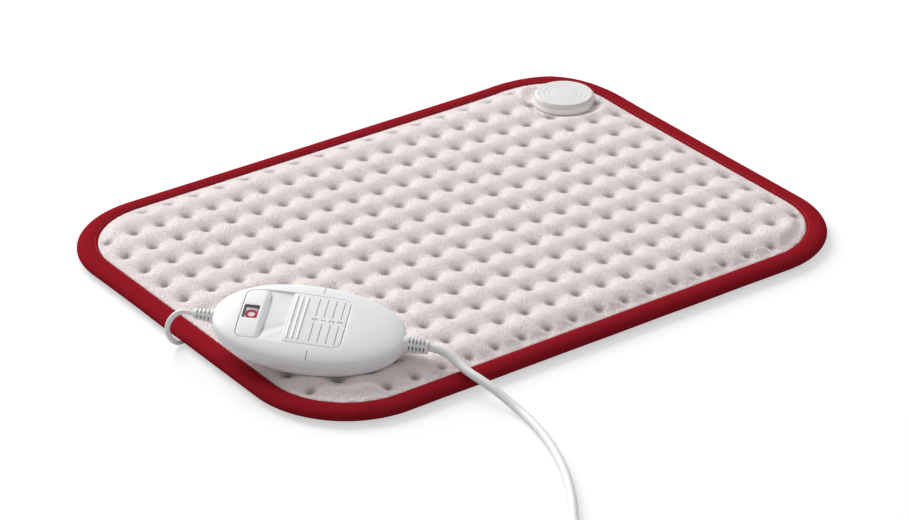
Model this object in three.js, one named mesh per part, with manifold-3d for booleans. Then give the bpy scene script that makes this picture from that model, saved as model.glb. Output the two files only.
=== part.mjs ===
// Electric heating pad with a slide-switch controller lying on its front corner.
// Millimetres, +Z up. The origin is the middle of the pad's underside, +X runs along
// its long side and +Y towards the corner coupling's long side.
import * as THREE from "three";
import { mergeVertices } from "three/addons/utils/BufferGeometryUtils.js";
import Module from "manifold-3d";

const wasm = await Module();
wasm.setup();

// Clearances
const SEAT_GAP = 0.3; // between two pieces that touch
const SLIDE_GAP = 0.35; // round the slider in its recess
const STOP_GAP = 0.45; // between the slider and the display frame at the last setting
const BELLY_GAP = 0.5; // between the controller's belly and the pressed plush
const BELLY_STEP = 0.1; // how finely the belly is felt for
const CUT = 40; // how far a cutting body runs past what it cuts

// Facets
const CORNER_STEPS = 6; // in each quarter of a rounded corner
const DISC_SIDES = 36;
const HOLE_SIDES = 20;
const ROD_SIDES = 16;
const PIN_SIDES = 12;
const GROOVE_STEPS = 24;
const LEAD_SIDES = 8;
const LEAD_STEPS = 26;
const UNDER_STEPS = 40;
const MAINS_SIDES = 10;
const MAINS_STEPS = 34;
const TAIL_STEPS = 8;
const TIE_STEPS = 3;

// Pad
const PAD_LENGTH = 440;
const PAD_WIDTH = 330;
const PAD_CORNER = 68;
const BOTTOM_THICKNESS = 4.9;
const CARRIER_THICKNESS = 0.6;
const CARRIER_INSET = 22;

// A place measured from the pad's near left corner, where the controller lies
function fromCorner(x, y, z) {
  return new THREE.Vector3(x - PAD_LENGTH / 2, y - PAD_WIDTH / 2, z);
}

// Folded tape round the edge
const BINDING_WIDTH = 14;
const BINDING_LIFT = 0.3;
const BINDING_HEIGHT = 9.2;
const TAPE_THICKNESS = 1.2;
const TAPE_FOLD = 4.6; // solid fold at the outside
const TAPE_ROUND = 5.4; // how far the round edge reaches in
const TONGUE_REACH = 8; // how far the covers reach into the tape
const ROUND_STEPS = 6;

// Plush face and its sewn tufts
const TUFT_PITCH_X = 20.5;
const TUFT_PITCH_Y = 23.75;
const TUFT_MARGIN = 8;
const PLUSH_CREST = 12.6;
const PLUSH_ROLL = 12.1; // on a roll, between two dimples of neighbouring rows
const PLUSH_SADDLE = 10.9; // between two dimples of one row
const PLUSH_DIMPLE = 8.7;
const PLUSH_EDGE = 9.0;
const PLUSH_EDGE_RUN = 9;
const PLUSH_SEAM = 0.7; // sewn edge that goes into the tape

// Heating wire
const WIRE_DIAMETER = 0.9;
const WIRE_GAP = 0.15;
const WIRE_RUNS = 11;
const WIRE_INSET = 30;
const WIRE_TURN_STEPS = 6;
const WIRE_SIDES = 6;
const THERMOSTAT_SIZE = new THREE.Vector3(16, 7, 2.2);
const THERMOSTAT_SHARES = [
  // of the pad's length and width, from its middle
  new THREE.Vector2(-0.16, -0.242),
  new THREE.Vector2(0.205, -0.091),
];

// Corner coupling
const COUPLING_INSET = new THREE.Vector2(43, 55.5); // from the pad's far right sides
const COUPLING_PLACE = new THREE.Vector2(PAD_LENGTH / 2, PAD_WIDTH / 2).sub(COUPLING_INSET);
const COUPLING_YAW = THREE.MathUtils.degToRad(17);
const COUPLING_BASE_DIAMETER = 45;
const COUPLING_BASE_HEIGHT = 4;
const COUPLING_CAP_DIAMETER = 41;
const COUPLING_CAP_HEIGHT = 2.9;
const COUPLING_EDGE = 0.8; // rounding of the disc's edges
const COUPLING_SEAT = 10.2; // underside of the base, on the pressed plush
const COUPLING_FLAT = 20.6; // from the centre to the flat on the base
const COUPLING_FLAT_YAW = THREE.MathUtils.degToRad(-70);
const CAP_RINGS = [17.4, 14.2, 11]; // radii of the rings pressed into the cap
const CAP_RING_WIDTH = 0.9;
const CAP_RING_DEPTH = 0.5;
const HUB_DIAMETER = 28;
const HUB_FLOOR = 1;
const CLAMP_RING_DIAMETER = 39;
const CLAMP_RING_THICKNESS = 1.6;
const CLAMP_RING_LIFT = 0.4;
const PLUG_LIFT = 0.6;
const PLUG_BODY = new THREE.Vector3(24, 15, 5.6);
const PLUG_NOSE = new THREE.Vector3(10, 11.4, 4.2);
const PLUG_BOOT_LENGTH = 16;
const PLUG_CORNER = 2.4;
const PIN_DIAMETER = 1.5;
const PIN_LENGTH = 12;
const PIN_PITCH = 3.4;
const PIN_ROOT = 3; // how far a pin is held in the hub

// Controller housing, in its own frame: +X towards the mains lead, parting plane at 0
const CONTROL_PLACE = fromCorner(50.1, 82.7, 28.3);
const CONTROL_YAW = THREE.MathUtils.degToRad(-44.8);
const CONTROL_PITCH = THREE.MathUtils.degToRad(4.5);
const CONTROL_ROLL = THREE.MathUtils.degToRad(11.5);
const CONTROL_LENGTH = 121.2;
const CONTROL_WIDTH = 73.4;
const CROWN_RISE = 8;
const BELLY_DROP = 13.5;
const PLAN_POWER = 2.1;
const PROFILE_POWER = 3;
const SHELL_WALL = 2;
const SHELL_SIDES = 44;
const SHELL_RINGS = 5; // from the parting plane to a pole
const CAVITY_SIDES = 28;
const CAVITY_RINGS = 4;
const POLE = 0.999; // share of a quarter turn that the last ring reaches

// Recess with the slider and the display
const RECESS_X = -10.2;
const RECESS_LENGTH = 66.2;
const RECESS_WIDTH = 46;
const RECESS_CORNER = 5.5;
const RECESS_DEPTH = 3.6; // at the display
const VALLEY_DEPTH = 2.1; // under the slider
const RECESS_FLOOR_WALL = 1.6;
const SLIDER_LENGTH = 36.5;
const SLOPE_RUN = 2.4; // of a slanted face, for each mm that it rises
const SLOPE_STEPS = 8;
const POCKET_REACH = 0.85; // of the display's pocket, past the frame's upper edge
const SCALE_PITCH = 5.25;
const SETTINGS = 3; // steps above 0
const GRIP_RIBS = 3;
const GRIP_PITCH = 3.45;
const GRIP_FIRST = 2.7; // from the slider's free edge
const GRIP_DIAMETER = 2;
const GRIP_STAND = 0.55; // how far a rib stands proud
const GRIP_LENGTH = 40.6;
const STEM_SIZE = new THREE.Vector2(1.8, 10);
const STEM_PLACE = 19.45; // from the slider's free edge
const STEM_DROP = 3.8; // below the recess floor
const WINDOW_X = -37;
const WINDOW_SIZE = new THREE.Vector2(9.6, 12.2);
const WINDOW_LEDGE = 1;
const WINDOW_LEDGE_DROP = 1.7;
const LENS_THICKNESS = 0.7;
const DISPLAY_THICKNESS = 0.9;

// Switch gear under the recess
const CARRIER_BLOCK = new THREE.Vector3(22, 16, 3.7);
const NOTCH_DEPTH = 0.9;
const NOTCH_WIDTH = 2.4;
const SPRING_STRIP = 0.4;
const SPRING_SPAN = 18;
const SPRING_HEIGHT = 2.4;
const WIPER_WIDTH = 6;
const WIPER_FLAT = 5;
const WIPER_REACH = 9;

// Circuit board and what stands on it
const BOARD_INSET = new THREE.Vector2(18.6, 15.7); // from the housing's sides
const BOARD_THICKNESS = 1.6;
const BOARD_SIZE = new THREE.Vector3(
  CONTROL_LENGTH - 2 * BOARD_INSET.x,
  CONTROL_WIDTH - 2 * BOARD_INSET.y,
  BOARD_THICKNESS,
);
const BOARD_CORNER = 6;
const BOARD_TOP = -4.9;
const POST_INSET = new THREE.Vector2(8, 6); // from the board's sides
const POST_PLACE = new THREE.Vector2(BOARD_SIZE.x / 2, BOARD_SIZE.y / 2).sub(POST_INSET);
const POST_DIAMETER = 5;
const FUSE_LENGTH = 20;
const FUSE_DIAMETER = 4.4;
const FUSE_CAP = 5.2;
const FUSE_CAP_LENGTH = 5;
const FUSE_PLACE = new THREE.Vector2(6, 16.6);
const CAPACITOR_SIZE = new THREE.Vector3(16, 8, 7);
const CAPACITOR_PLACE = new THREE.Vector2(26, -15.5);
const TRIAC_SIZE = new THREE.Vector3(10, 8.6, 4.4);
const TRIAC_TAB = new THREE.Vector3(6, 8.6, 1.3);
const TRIAC_PLACE = new THREE.Vector2(-10, -15.5);
const TERMINAL_SIZE = new THREE.Vector3(7, 10, 5.4);
const TERMINAL_INSET = 4.6; // from the board's end
const TERMINAL_X = BOARD_SIZE.x / 2 - TERMINAL_INSET;

// Housing screws
const SCREW_INSET = new THREE.Vector2(13.6, 21.7); // from the housing's sides
const SCREW_PLACE = new THREE.Vector2(CONTROL_LENGTH / 2, CONTROL_WIDTH / 2).sub(SCREW_INSET);
const SCREW_HEAD = 5.2;
const SCREW_HEAD_HEIGHT = 1.8;
const SCREW_SHANK = 2.6;
const SCREW_SEAT = -6.6;
const SCREW_TIP = 3.6;
const UPPER_BOSS = 6;
const LOWER_BOSS = 8.2;

// Strain reliefs
const GLAND_DROP = -1.5; // their axis, below the parting plane
const GLAND_BASE = 0.4; // from the housing's tip in to the cone's foot
const GLAND_COLLAR = 6.5; // collar length through the wall
const GLAND_FLANGE = 1.4;
const GLAND_ROWS = 4;
const GLAND_SLOT = 1.2;
const GLAND_SLOT_SPAN = 0.65; // slot length, as a share of the nose's diameter
const GLAND_CORE = 0.5; // solid core, as a share of the nose's diameter
const GLAND_LIP = 2.2; // plain nose past the last slot
const PAD_GLAND = { foot: 8.8, nose: 6.2, collar: 6.6, flange: 8.6, reach: 12.8 };
const MAINS_GLAND = { foot: 10.8, nose: 8.6, collar: 8, flange: 9.6, reach: 14.4 };

// Leads
const PAD_LEAD_DIAMETER = 3.4;
const MAINS_LEAD_DIAMETER = 5.5;
const CORE_DIAMETER = 2.2;
const LEAD_UNDER_Z = 2.1; // centre of the pad lead beneath the pad
const GROOVE_ROOF = 4.1;
const PAD_LEAD_STRAIGHT = 6.8; // out of its relief, and again under the pad
const MAINS_LEAD_STRAIGHT = 1.4; // past the long relief, which holds it straight

// Coil of the mains lead, its tie and its plug
const COIL_CENTRE = fromCorner(65, -237, 0);
const COIL_START = THREE.MathUtils.degToRad(141.7);
const COIL_INNER = 24.5;
const COIL_TURNS = 3; // in each layer
const COIL_EXTRA = 0.25; // turn past the last full one
const COIL_PITCH = 6.1;
const COIL_STEPS = 24;
const COIL_SIDES = 6;
const TIE_WIDTH = 8;
const TIE_THICKNESS = 0.8;
const TIE_CORNER = 2.5;
const PLUG_PLACE = fromCorner(86, -294, 7.2);
const PLUG_YAW = THREE.MathUtils.degToRad(-4);
const PLUG_STATIONS = [
  // distance along the plug, half width, half height
  [0, 3.6, 3.6],
  [20, 4.4, 4.4],
  [25, 8.6, 5.6],
  [36, 12.4, 6.7],
  [58, 12.8, 6.9],
  [60, 12, 6.2],
];
const PLUG_POWER = 3;
const PLUG_SIDES = 20;
const PLUG_PIN_DIAMETER = 4;
const PLUG_PIN_LENGTH = 19;
const PLUG_PIN_PITCH = 18.6;

// Levels through the pad
const CARRIER_BASE = BOTTOM_THICKNESS + SEAT_GAP;
const CARRIER_TOP = CARRIER_BASE + CARRIER_THICKNESS;
const WIRE_Z = CARRIER_TOP + WIRE_GAP + WIRE_DIAMETER / 2;
const PLUSH_BASE = WIRE_Z + WIRE_DIAMETER / 2 + WIRE_GAP;
const RECESS_FLOOR = CROWN_RISE - RECESS_DEPTH;
const RECESS_UNDERSIDE = RECESS_FLOOR - RECESS_FLOOR_WALL;
const SLIDER_FLOOR = CROWN_RISE - VALLEY_DEPTH;
const RECESS_END = RECESS_X + RECESS_LENGTH / 2;
const SLIDER_EDGE = RECESS_END - SLIDE_GAP - SLIDER_LENGTH;
const SLIDER_TRAVEL = SETTINGS * SCALE_PITCH;
const STEM_X = SLIDER_EDGE + STEM_PLACE;
const FRAME_EDGE = SLIDER_EDGE - SLIDER_TRAVEL - STOP_GAP;
const POCKET_END = FRAME_EDGE + POCKET_REACH;
const HALF_LENGTH = CONTROL_LENGTH / 2;
const HALF_WIDTH = CONTROL_WIDTH / 2;

// Materials
function finish(color, roughness, metalness = 0) {
  return new THREE.MeshStandardMaterial({ color, roughness, metalness });
}
const PLUSH = finish(0xf1e7e3, 0.95);
const FELT = finish(0xe6dcd8, 0.95);
const FLEECE_SHEET = finish(0xd9d4cc, 0.9);
const TAPE = finish(0xa31c2b, 0.85);
const WHITE_PLASTIC = finish(0xf0f1f2, 0.35);
const CREAM_PLASTIC = finish(0xeeeae4, 0.4);
const LEAD_JACKET = finish(0xf2f2f0, 0.5);
const DARK_PLASTIC = finish(0x3a3a3d, 0.5);
const BOARD_GREEN = finish(0x2e6b45, 0.6);
const STEEL = finish(0xb9bcc0, 0.3, 1);
const BRASS = finish(0xc9a85a, 0.3, 1);
const RED_LIGHT = finish(0xd23a48, 0.4);
const CLEAR = finish(0xe9eef0, 0.1);
const WIRE_RED = finish(0x9c3b32, 0.6);

// Boolean work
function solid(geometry) {
  const bare = geometry.clone();
  bare.deleteAttribute("normal");
  bare.deleteAttribute("uv");
  const merged = mergeVertices(bare);
  const triVerts = new Uint32Array(merged.index.array);
  const vertProperties = merged.attributes.position.array;
  return new wasm.Manifold(new wasm.Mesh({ numProp: 3, vertProperties, triVerts }));
}

function geometryOf(body) {
  const made = body.getMesh();
  const geometry = new THREE.BufferGeometry();
  geometry.setAttribute("position", new THREE.BufferAttribute(made.vertProperties, 3));
  geometry.setIndex(new THREE.BufferAttribute(made.triVerts, 1));
  geometry.computeVertexNormals();
  return geometry;
}

function piece(name, shape, material, parent) {
  const geometry = shape.isBufferGeometry ? shape : geometryOf(shape);
  const made = new THREE.Mesh(geometry, material);
  made.name = name;
  parent.add(made);
  return made;
}

// Basic bodies
function block(size, centre) {
  const geometry = new THREE.BoxGeometry(size.x, size.y, size.z);
  return solid(geometry.translate(centre.x, centre.y, centre.z));
}

function blockBetween(low, high) {
  const size = high.clone().sub(low);
  return block(size, low.clone().add(high).multiplyScalar(0.5));
}

function prism(shape, bottom, top) {
  const geometry = new THREE.ExtrudeGeometry(shape, {
    depth: top - bottom,
    bevelEnabled: false,
    curveSegments: CORNER_STEPS / 2, // an arc takes two steps for each
  });
  return solid(geometry.translate(0, 0, bottom));
}

function upright(diameter, bottom, top, x = 0, y = 0, sides = ROD_SIDES) {
  const geometry = new THREE.CylinderGeometry(diameter / 2, diameter / 2, top - bottom, sides);
  geometry.rotateX(Math.PI / 2);
  return solid(geometry.translate(x, y, (top + bottom) / 2));
}

function alongX(diameter, start, end, y, z, sides = ROD_SIDES) {
  const geometry = new THREE.CylinderGeometry(diameter / 2, diameter / 2, end - start, sides);
  geometry.rotateZ(Math.PI / 2);
  return solid(geometry.translate((start + end) / 2, y, z));
}

function alongY(diameter, length, x, z) {
  const radius = diameter / 2;
  const geometry = new THREE.CylinderGeometry(radius, radius, length, PIN_SIDES);
  return solid(geometry.translate(x, 0, z));
}

// A profile of [radius, height] pairs turned round the upright axis.
function turned(profile, sides) {
  const points = profile.map(([radius, height]) => new THREE.Vector2(radius, height));
  const geometry = new THREE.LatheGeometry(points, sides);
  return geometry.rotateX(Math.PI / 2);
}

function roundedRect(length, width, corner, x = 0, y = 0) {
  const right = length / 2 - corner;
  const top = width / 2 - corner;
  const shape = new THREE.Shape();
  shape.absarc(x + right, y + top, corner, 0, Math.PI / 2);
  shape.absarc(x - right, y + top, corner, Math.PI / 2, Math.PI);
  shape.absarc(x - right, y - top, corner, Math.PI, 1.5 * Math.PI);
  shape.absarc(x + right, y - top, corner, 1.5 * Math.PI, 2 * Math.PI);
  return shape;
}

function padOutline(inset) {
  return roundedRect(PAD_LENGTH - 2 * inset, PAD_WIDTH - 2 * inset, PAD_CORNER - inset);
}

function signedPower(value, power) {
  return Math.sign(value) * Math.abs(value) ** power;
}

// Closed skin over a row of rings that have the same number of points.
function loft(rings) {
  const count = rings[0].length;
  const middle = (ring) =>
    ring.reduce((sum, p) => sum.add(p), new THREE.Vector3()).multiplyScalar(1 / count);
  const points = rings.flat().concat([middle(rings[0]), middle(rings.at(-1))]);
  const foot = points.length - 2;
  const head = points.length - 1;
  const last = (rings.length - 1) * count;
  const faces = [];
  for (let i = 0; i < count; i += 1) {
    const j = (i + 1) % count;
    for (let k = 0; k < rings.length - 1; k += 1) {
      const low = k * count;
      const high = low + count;
      faces.push(low + i, low + j, high + j, low + i, high + j, high + i);
    }
    faces.push(foot, j, i, head, last + i, last + j);
  }
  return facingOut(points, faces);
}

function facingOut(points, faces) {
  let volume = 0;
  for (let i = 0; i < faces.length; i += 3) {
    const [a, b, c] = faces.slice(i, i + 3).map((index) => points[index]);
    volume += a.dot(b.clone().cross(c));
  }
  if (volume < 0) faces.reverse();
  const geometry = new THREE.BufferGeometry().setFromPoints(points);
  geometry.setIndex(faces);
  geometry.computeVertexNormals();
  return geometry;
}

function polygon(diameter, sides) {
  const points = Array.from({ length: sides }, (_, i) => {
    const angle = (2 * Math.PI * (i + 0.5)) / sides;
    return new THREE.Vector2(Math.cos(angle), Math.sin(angle)).multiplyScalar(diameter / 2);
  });
  return new THREE.Shape(points);
}

function tube(points, diameter, sides, steps) {
  const extrudePath = new THREE.CatmullRomCurve3(points, false, "centripetal");
  const section = polygon(diameter, sides);
  return new THREE.ExtrudeGeometry(section, { steps, extrudePath, bevelEnabled: false });
}

// Shared frames
const pad = new THREE.Group();
const coupling = new THREE.Group();
coupling.position.set(COUPLING_PLACE.x, COUPLING_PLACE.y, 0);
coupling.rotation.z = COUPLING_YAW;
const control = new THREE.Group();
control.position.copy(CONTROL_PLACE);
control.rotation.set(CONTROL_ROLL, CONTROL_PITCH, CONTROL_YAW, "ZYX");
const slider = new THREE.Group();
control.add(slider);
const mainsPlug = new THREE.Group();
mainsPlug.position.copy(PLUG_PLACE);
mainsPlug.rotation.z = PLUG_YAW;
const heatingPad = new THREE.Group();
heatingPad.add(pad, coupling, control, mainsPlug);
heatingPad.updateMatrixWorld(true);

function fromControl(x, y, z) {
  return control.localToWorld(new THREE.Vector3(x, y, z));
}

function fromCoupling(x, y, z) {
  return coupling.localToWorld(new THREE.Vector3(x, y, z));
}

// A body made in the coupling's frame, moved to the pad's frame.
function inPadFrame(geometry) {
  return solid(geometry.applyMatrix4(coupling.matrixWorld));
}

// Routes of the leads
const HUB_RADIUS = HUB_DIAMETER / 2;
const PLUG_BACK = HUB_RADIUS + SEAT_GAP + PLUG_BODY.x;
const PLUG_BOOT_END = PLUG_BACK + PLUG_BOOT_LENGTH;
const PLUG_Z = PLUG_LIFT + PLUG_BODY.z / 2;
const PAD_NOSE = HALF_LENGTH - GLAND_BASE + PAD_GLAND.reach;
const MAINS_NOSE = HALF_LENGTH - GLAND_BASE + MAINS_GLAND.reach;

function leadStart(end, nose, straight) {
  const first = nose + SEAT_GAP;
  return [
    fromControl(end * first, 0, GLAND_DROP),
    fromControl(end * (first + straight), 0, GLAND_DROP),
  ];
}

const PAD_LEAD_ROUTE = [
  ...leadStart(-1, PAD_NOSE, PAD_LEAD_STRAIGHT),
  fromCorner(-10.3, 141.7, 31.4),
  fromCorner(-12.6, 143.6, 27.9),
  fromCorner(-13.3, 146, 23.3),
  fromCorner(-12.4, 148.6, 18),
  fromCorner(-10.3, 151, 12.9),
  fromCorner(-7.6, 152.8, 8.2),
  fromCorner(-4.6, 153.9, 4.6),
  fromCorner(-1.2, 154.6, 2.5),
  fromCorner(3, 155.3, LEAD_UNDER_Z),
  fromCorner(8, 156.4, LEAD_UNDER_Z),
];

function underRoute(z) {
  const from = PAD_LEAD_ROUTE.at(-1);
  const heading = from.clone().sub(PAD_LEAD_ROUTE.at(-2)).normalize();
  const start = from.clone().addScaledVector(heading, SEAT_GAP);
  return [
    start,
    start.clone().addScaledVector(heading, PAD_LEAD_STRAIGHT),
    fromCoupling(-PLUG_BOOT_END - SEAT_GAP - PAD_LEAD_STRAIGHT, 0, z),
    fromCoupling(-PLUG_BOOT_END - SEAT_GAP, 0, z),
  ].map((p) => new THREE.Vector3(p.x, p.y, z));
}

// The pad dents over the lead that lies beneath it.
function leadGroove() {
  const middle = LEAD_UNDER_Z - GROOVE_ROOF / 2;
  const points = underRoute(middle);
  const inward = points[1].clone().sub(points[0]).normalize();
  points.unshift(points[0].clone().addScaledVector(inward, -CUT));
  points.push(fromCoupling(-PLUG_BACK, 0, middle));
  const half = GROOVE_ROOF - middle;
  const side = PAD_LEAD_DIAMETER / 2 + SEAT_GAP;
  const section = new THREE.Shape([
    new THREE.Vector2(-half, -side),
    new THREE.Vector2(half, -side),
    new THREE.Vector2(half, side),
    new THREE.Vector2(-half, side),
  ]);
  const extrudePath = new THREE.CatmullRomCurve3(points, false, "centripetal");
  const options = { steps: GROOVE_STEPS, extrudePath, bevelEnabled: false };
  return solid(new THREE.ExtrudeGeometry(section, options));
}

// Space that the coupling and its plug take in the layers
function plugPocket(top) {
  const low = new THREE.Vector3(-PLUG_BOOT_END - SEAT_GAP, -PLUG_BODY.y / 2 - SEAT_GAP, -CUT);
  const high = new THREE.Vector3(0, PLUG_BODY.y / 2 + SEAT_GAP, top);
  const size = high.clone().sub(low);
  const geometry = new THREE.BoxGeometry(size.x, size.y, size.z);
  const centre = low.add(high).multiplyScalar(0.5);
  return inPadFrame(geometry.translate(centre.x, centre.y, centre.z));
}

function couplingHole(diameter, bottom, top) {
  const { x, y } = COUPLING_PLACE;
  return upright(diameter + 2 * SEAT_GAP, bottom, top, x, y, HOLE_SIDES);
}

// Plush face
const tongueInset = BINDING_WIDTH - TONGUE_REACH;
const bodyInset = BINDING_WIDTH + SEAT_GAP;

function insideOutline(x, y, inset) {
  const corner = PAD_CORNER - inset;
  const dx = Math.abs(x) - (PAD_LENGTH / 2 - PAD_CORNER);
  const dy = Math.abs(y) - (PAD_WIDTH / 2 - PAD_CORNER);
  const out = Math.hypot(Math.max(dx, 0), Math.max(dy, 0));
  return corner - out - Math.min(Math.max(dx, dy), 0);
}

function tuftLines(span, pitch) {
  const count = Math.floor((span - 2 * TUFT_MARGIN) / pitch) + 1;
  const first = (-(count - 1) * pitch) / 2;
  const lines = [-span / 2];
  for (let i = 0; i < count; i += 1) {
    if (i > 0) lines.push(first + (i - 0.5) * pitch);
    lines.push(first + i * pitch);
  }
  lines.push(span / 2);
  return lines;
}

const toControl = control.matrixWorld.clone().invert();

function inController(x, y, z) {
  const p = new THREE.Vector3(x, y, z).applyMatrix4(toControl);
  const plan =
    Math.abs(p.x / HALF_LENGTH) ** PLAN_POWER + Math.abs(p.y / HALF_WIDTH) ** PLAN_POWER;
  const rise = Math.abs(p.z / (p.z > 0 ? CROWN_RISE : BELLY_DROP));
  return plan ** (PROFILE_POWER / PLAN_POWER) + rise ** PROFILE_POWER < 1;
}

// Height of the controller's belly over a point of the pad.
function bellyOver(x, y) {
  for (let z = PLUSH_DIMPLE; z < PLUSH_CREST + 2 * BELLY_GAP; z += BELLY_STEP) {
    if (inController(x, y, z)) return z - BELLY_STEP;
  }
  return Infinity;
}

function plushHeight(x, y, dimpleColumn, dimpleRow) {
  const inside = insideOutline(x, y, BINDING_WIDTH);
  const crown = PLUSH_CREST - PLUSH_EDGE;
  const cap = PLUSH_EDGE + crown * THREE.MathUtils.clamp(inside / PLUSH_EDGE_RUN, 0, 1);
  const tufted = inside > TUFT_MARGIN;
  let height = PLUSH_CREST;
  if (dimpleColumn) height = PLUSH_ROLL;
  if (dimpleRow) height = PLUSH_SADDLE;
  if (dimpleColumn && dimpleRow && tufted) height = PLUSH_DIMPLE;
  const reach = Math.hypot(x - COUPLING_PLACE.x, y - COUPLING_PLACE.y);
  const pressed = COUPLING_BASE_DIAMETER / 2 + TUFT_PITCH_Y / 2;
  if (reach < pressed) height = Math.min(height, COUPLING_SEAT - SEAT_GAP);
  return Math.min(height, cap, bellyOver(x, y) - BELLY_GAP);
}

function plushSlab() {
  const length = PAD_LENGTH - 2 * bodyInset;
  const width = PAD_WIDTH - 2 * bodyInset;
  const columns = tuftLines(length, TUFT_PITCH_X);
  const rows = tuftLines(width, TUFT_PITCH_Y);
  const across = columns.length;
  const points = [];
  const thinned = (lines, k) => lines[k - (k > 0 && k % 2 === 0 && k < lines.length - 1 ? 1 : 0)];
  const onEdge = (lines, k) => k === 0 || k === lines.length - 1;
  rows.forEach((row, j) => {
    columns.forEach((column, i) => {
      // The sewn edge has a point at each line of dimples only.
      const x = onEdge(rows, j) ? thinned(columns, i) : column;
      const y = onEdge(columns, i) ? thinned(rows, j) : row;
      const height = plushHeight(x, y, i % 2 === 1, j % 2 === 1);
      points.push(new THREE.Vector3(x, y, height));
    });
  });
  const corner = points.length;
  for (const [x, y] of [[-1, -1], [1, -1], [1, 1], [-1, 1]]) {
    points.push(new THREE.Vector3((x * length) / 2, (y * width) / 2, PLUSH_BASE));
  }
  const faces = [];
  for (let j = 0; j < rows.length - 1; j += 1) {
    for (let i = 0; i < across - 1; i += 1) {
      const a = j * across + i;
      const b = a + 1;
      const c = a + across;
      const d = c + 1;
      if ((i + j) % 2 === 0) faces.push(a, b, d, a, d, c);
      else faces.push(a, b, c, b, d, c);
    }
  }
  const topRow = (rows.length - 1) * across;
  const front = columns.map((_, i) => i);
  const right = rows.map((_, j) => j * across + across - 1);
  const back = columns.map((_, i) => topRow + across - 1 - i);
  const left = rows.map((_, j) => topRow - j * across);
  [front, right, back, left].forEach((edge, k) => {
    const here = corner + k;
    const next = corner + ((k + 1) % 4);
    for (let i = 0; i < edge.length - 1; i += 1) faces.push(here, edge[i + 1], edge[i]);
    faces.push(here, next, edge.at(-1));
  });
  faces.push(corner, corner + 2, corner + 1, corner, corner + 3, corner + 2);
  return solid(facingOut(points, faces));
}

const plush = plushSlab()
  .intersect(prism(padOutline(bodyInset), PLUSH_BASE - CUT, CUT))
  .add(prism(padOutline(tongueInset), PLUSH_BASE, PLUSH_BASE + PLUSH_SEAM))
  .subtract(couplingHole(HUB_DIAMETER, -CUT, CUT));
piece("top_cover", plush, PLUSH, pad);

// Underside with the dents of the lead, the coupling and the thermostats
const groove = leadGroove();
const lipTop = BINDING_LIFT + TAPE_THICKNESS + SEAT_GAP;
const clampRingTop = CLAMP_RING_LIFT + CLAMP_RING_THICKNESS;
let underside = prism(padOutline(bodyInset), 0, BOTTOM_THICKNESS)
  .add(prism(padOutline(tongueInset), lipTop, BOTTOM_THICKNESS))
  .subtract(couplingHole(HUB_DIAMETER, -CUT, CUT))
  .subtract(couplingHole(CLAMP_RING_DIAMETER, -CUT, clampRingTop + SEAT_GAP))
  .subtract(plugPocket(CUT))
  .subtract(groove);
THERMOSTAT_SHARES.forEach((share, i) => {
  const place = new THREE.Vector2(PAD_LENGTH, PAD_WIDTH).multiply(share);
  const margin = 2 * SEAT_GAP;
  const low = BOTTOM_THICKNESS - THERMOSTAT_SIZE.z;
  const { x: length, y: width } = THERMOSTAT_SIZE;
  const pocket = roundedRect(length + margin, width + margin, width / 2, place.x, place.y);
  underside = underside.subtract(prism(pocket, low - SEAT_GAP, CUT));
  const can = roundedRect(length, width, width / 2 - SEAT_GAP, place.x, place.y);
  piece(`overheat_thermostat_${i + 1}`, prism(can, low, BOTTOM_THICKNESS), STEEL, pad);
});
piece("bottom_cover", underside, FELT, pad);

const sheet = prism(padOutline(CARRIER_INSET), CARRIER_BASE, CARRIER_TOP)
  .subtract(couplingHole(HUB_DIAMETER, -CUT, CUT))
  .subtract(plugPocket(CUT));
piece("heater_carrier", sheet, FLEECE_SHEET, pad);

// Heating wire: runs between the tuft rows, from the coupling and back to it
function heatingWire() {
  const reach = PAD_LENGTH / 2 - BINDING_WIDTH - WIRE_INSET;
  const keep = HUB_RADIUS + PLUG_BODY.x;
  const clear = COUPLING_PLACE.x - PLUG_BOOT_END - TUFT_PITCH_X;
  const top = (WIRE_RUNS / 2) * TUFT_PITCH_Y;
  const turn = TUFT_PITCH_Y / 2;
  const points = [];
  const add = (x, y) => points.push(new THREE.Vector3(x, y, WIRE_Z));
  for (let run = 0; run < WIRE_RUNS; run += 1) {
    const y = top - run * TUFT_PITCH_Y;
    const nearPlug = Math.abs(y - turn - COUPLING_PLACE.y) < keep;
    const right = nearPlug ? clear : reach;
    const ends = run % 2 === 0 ? [right, -reach] : [-reach, right];
    if (run === 0) add(COUPLING_PLACE.x - HUB_RADIUS, y);
    else add(ends[0], y);
    add(ends[1], y);
    if (run === WIRE_RUNS - 1) continue;
    const side = Math.sign(ends[1] - ends[0]);
    for (let k = 1; k < WIRE_TURN_STEPS; k += 1) {
      const angle = (Math.PI * k) / WIRE_TURN_STEPS;
      add(ends[1] + side * turn * Math.sin(angle), y - turn + turn * Math.cos(angle));
    }
  }
  return points;
}

// Tube with its rings square to the corners of a path that stays level.
function levelTube(points, diameter, sides) {
  const rings = points.map((point, i) => {
    const before = points[Math.max(i - 1, 0)];
    const after = points[Math.min(i + 1, points.length - 1)];
    const into = point.clone().sub(before).normalize();
    const out = after.clone().sub(point).normalize();
    const heading = into.add(out).normalize();
    const sideways = new THREE.Vector3(heading.y, -heading.x, 0).normalize();
    return ringAt(point, sideways, diameter, sides);
  });
  return loft(rings);
}

function ringAt(point, sideways, diameter, sides) {
  return Array.from({ length: sides }, (_, i) => {
    const angle = (2 * Math.PI * (i + 0.5)) / sides;
    const ring = point.clone().addScaledVector(sideways, (Math.cos(angle) * diameter) / 2);
    ring.z += (Math.sin(angle) * diameter) / 2;
    return ring;
  });
}

piece("heating_wire", levelTube(heatingWire(), WIRE_DIAMETER, WIRE_SIDES), WIRE_RED, pad);

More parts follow.
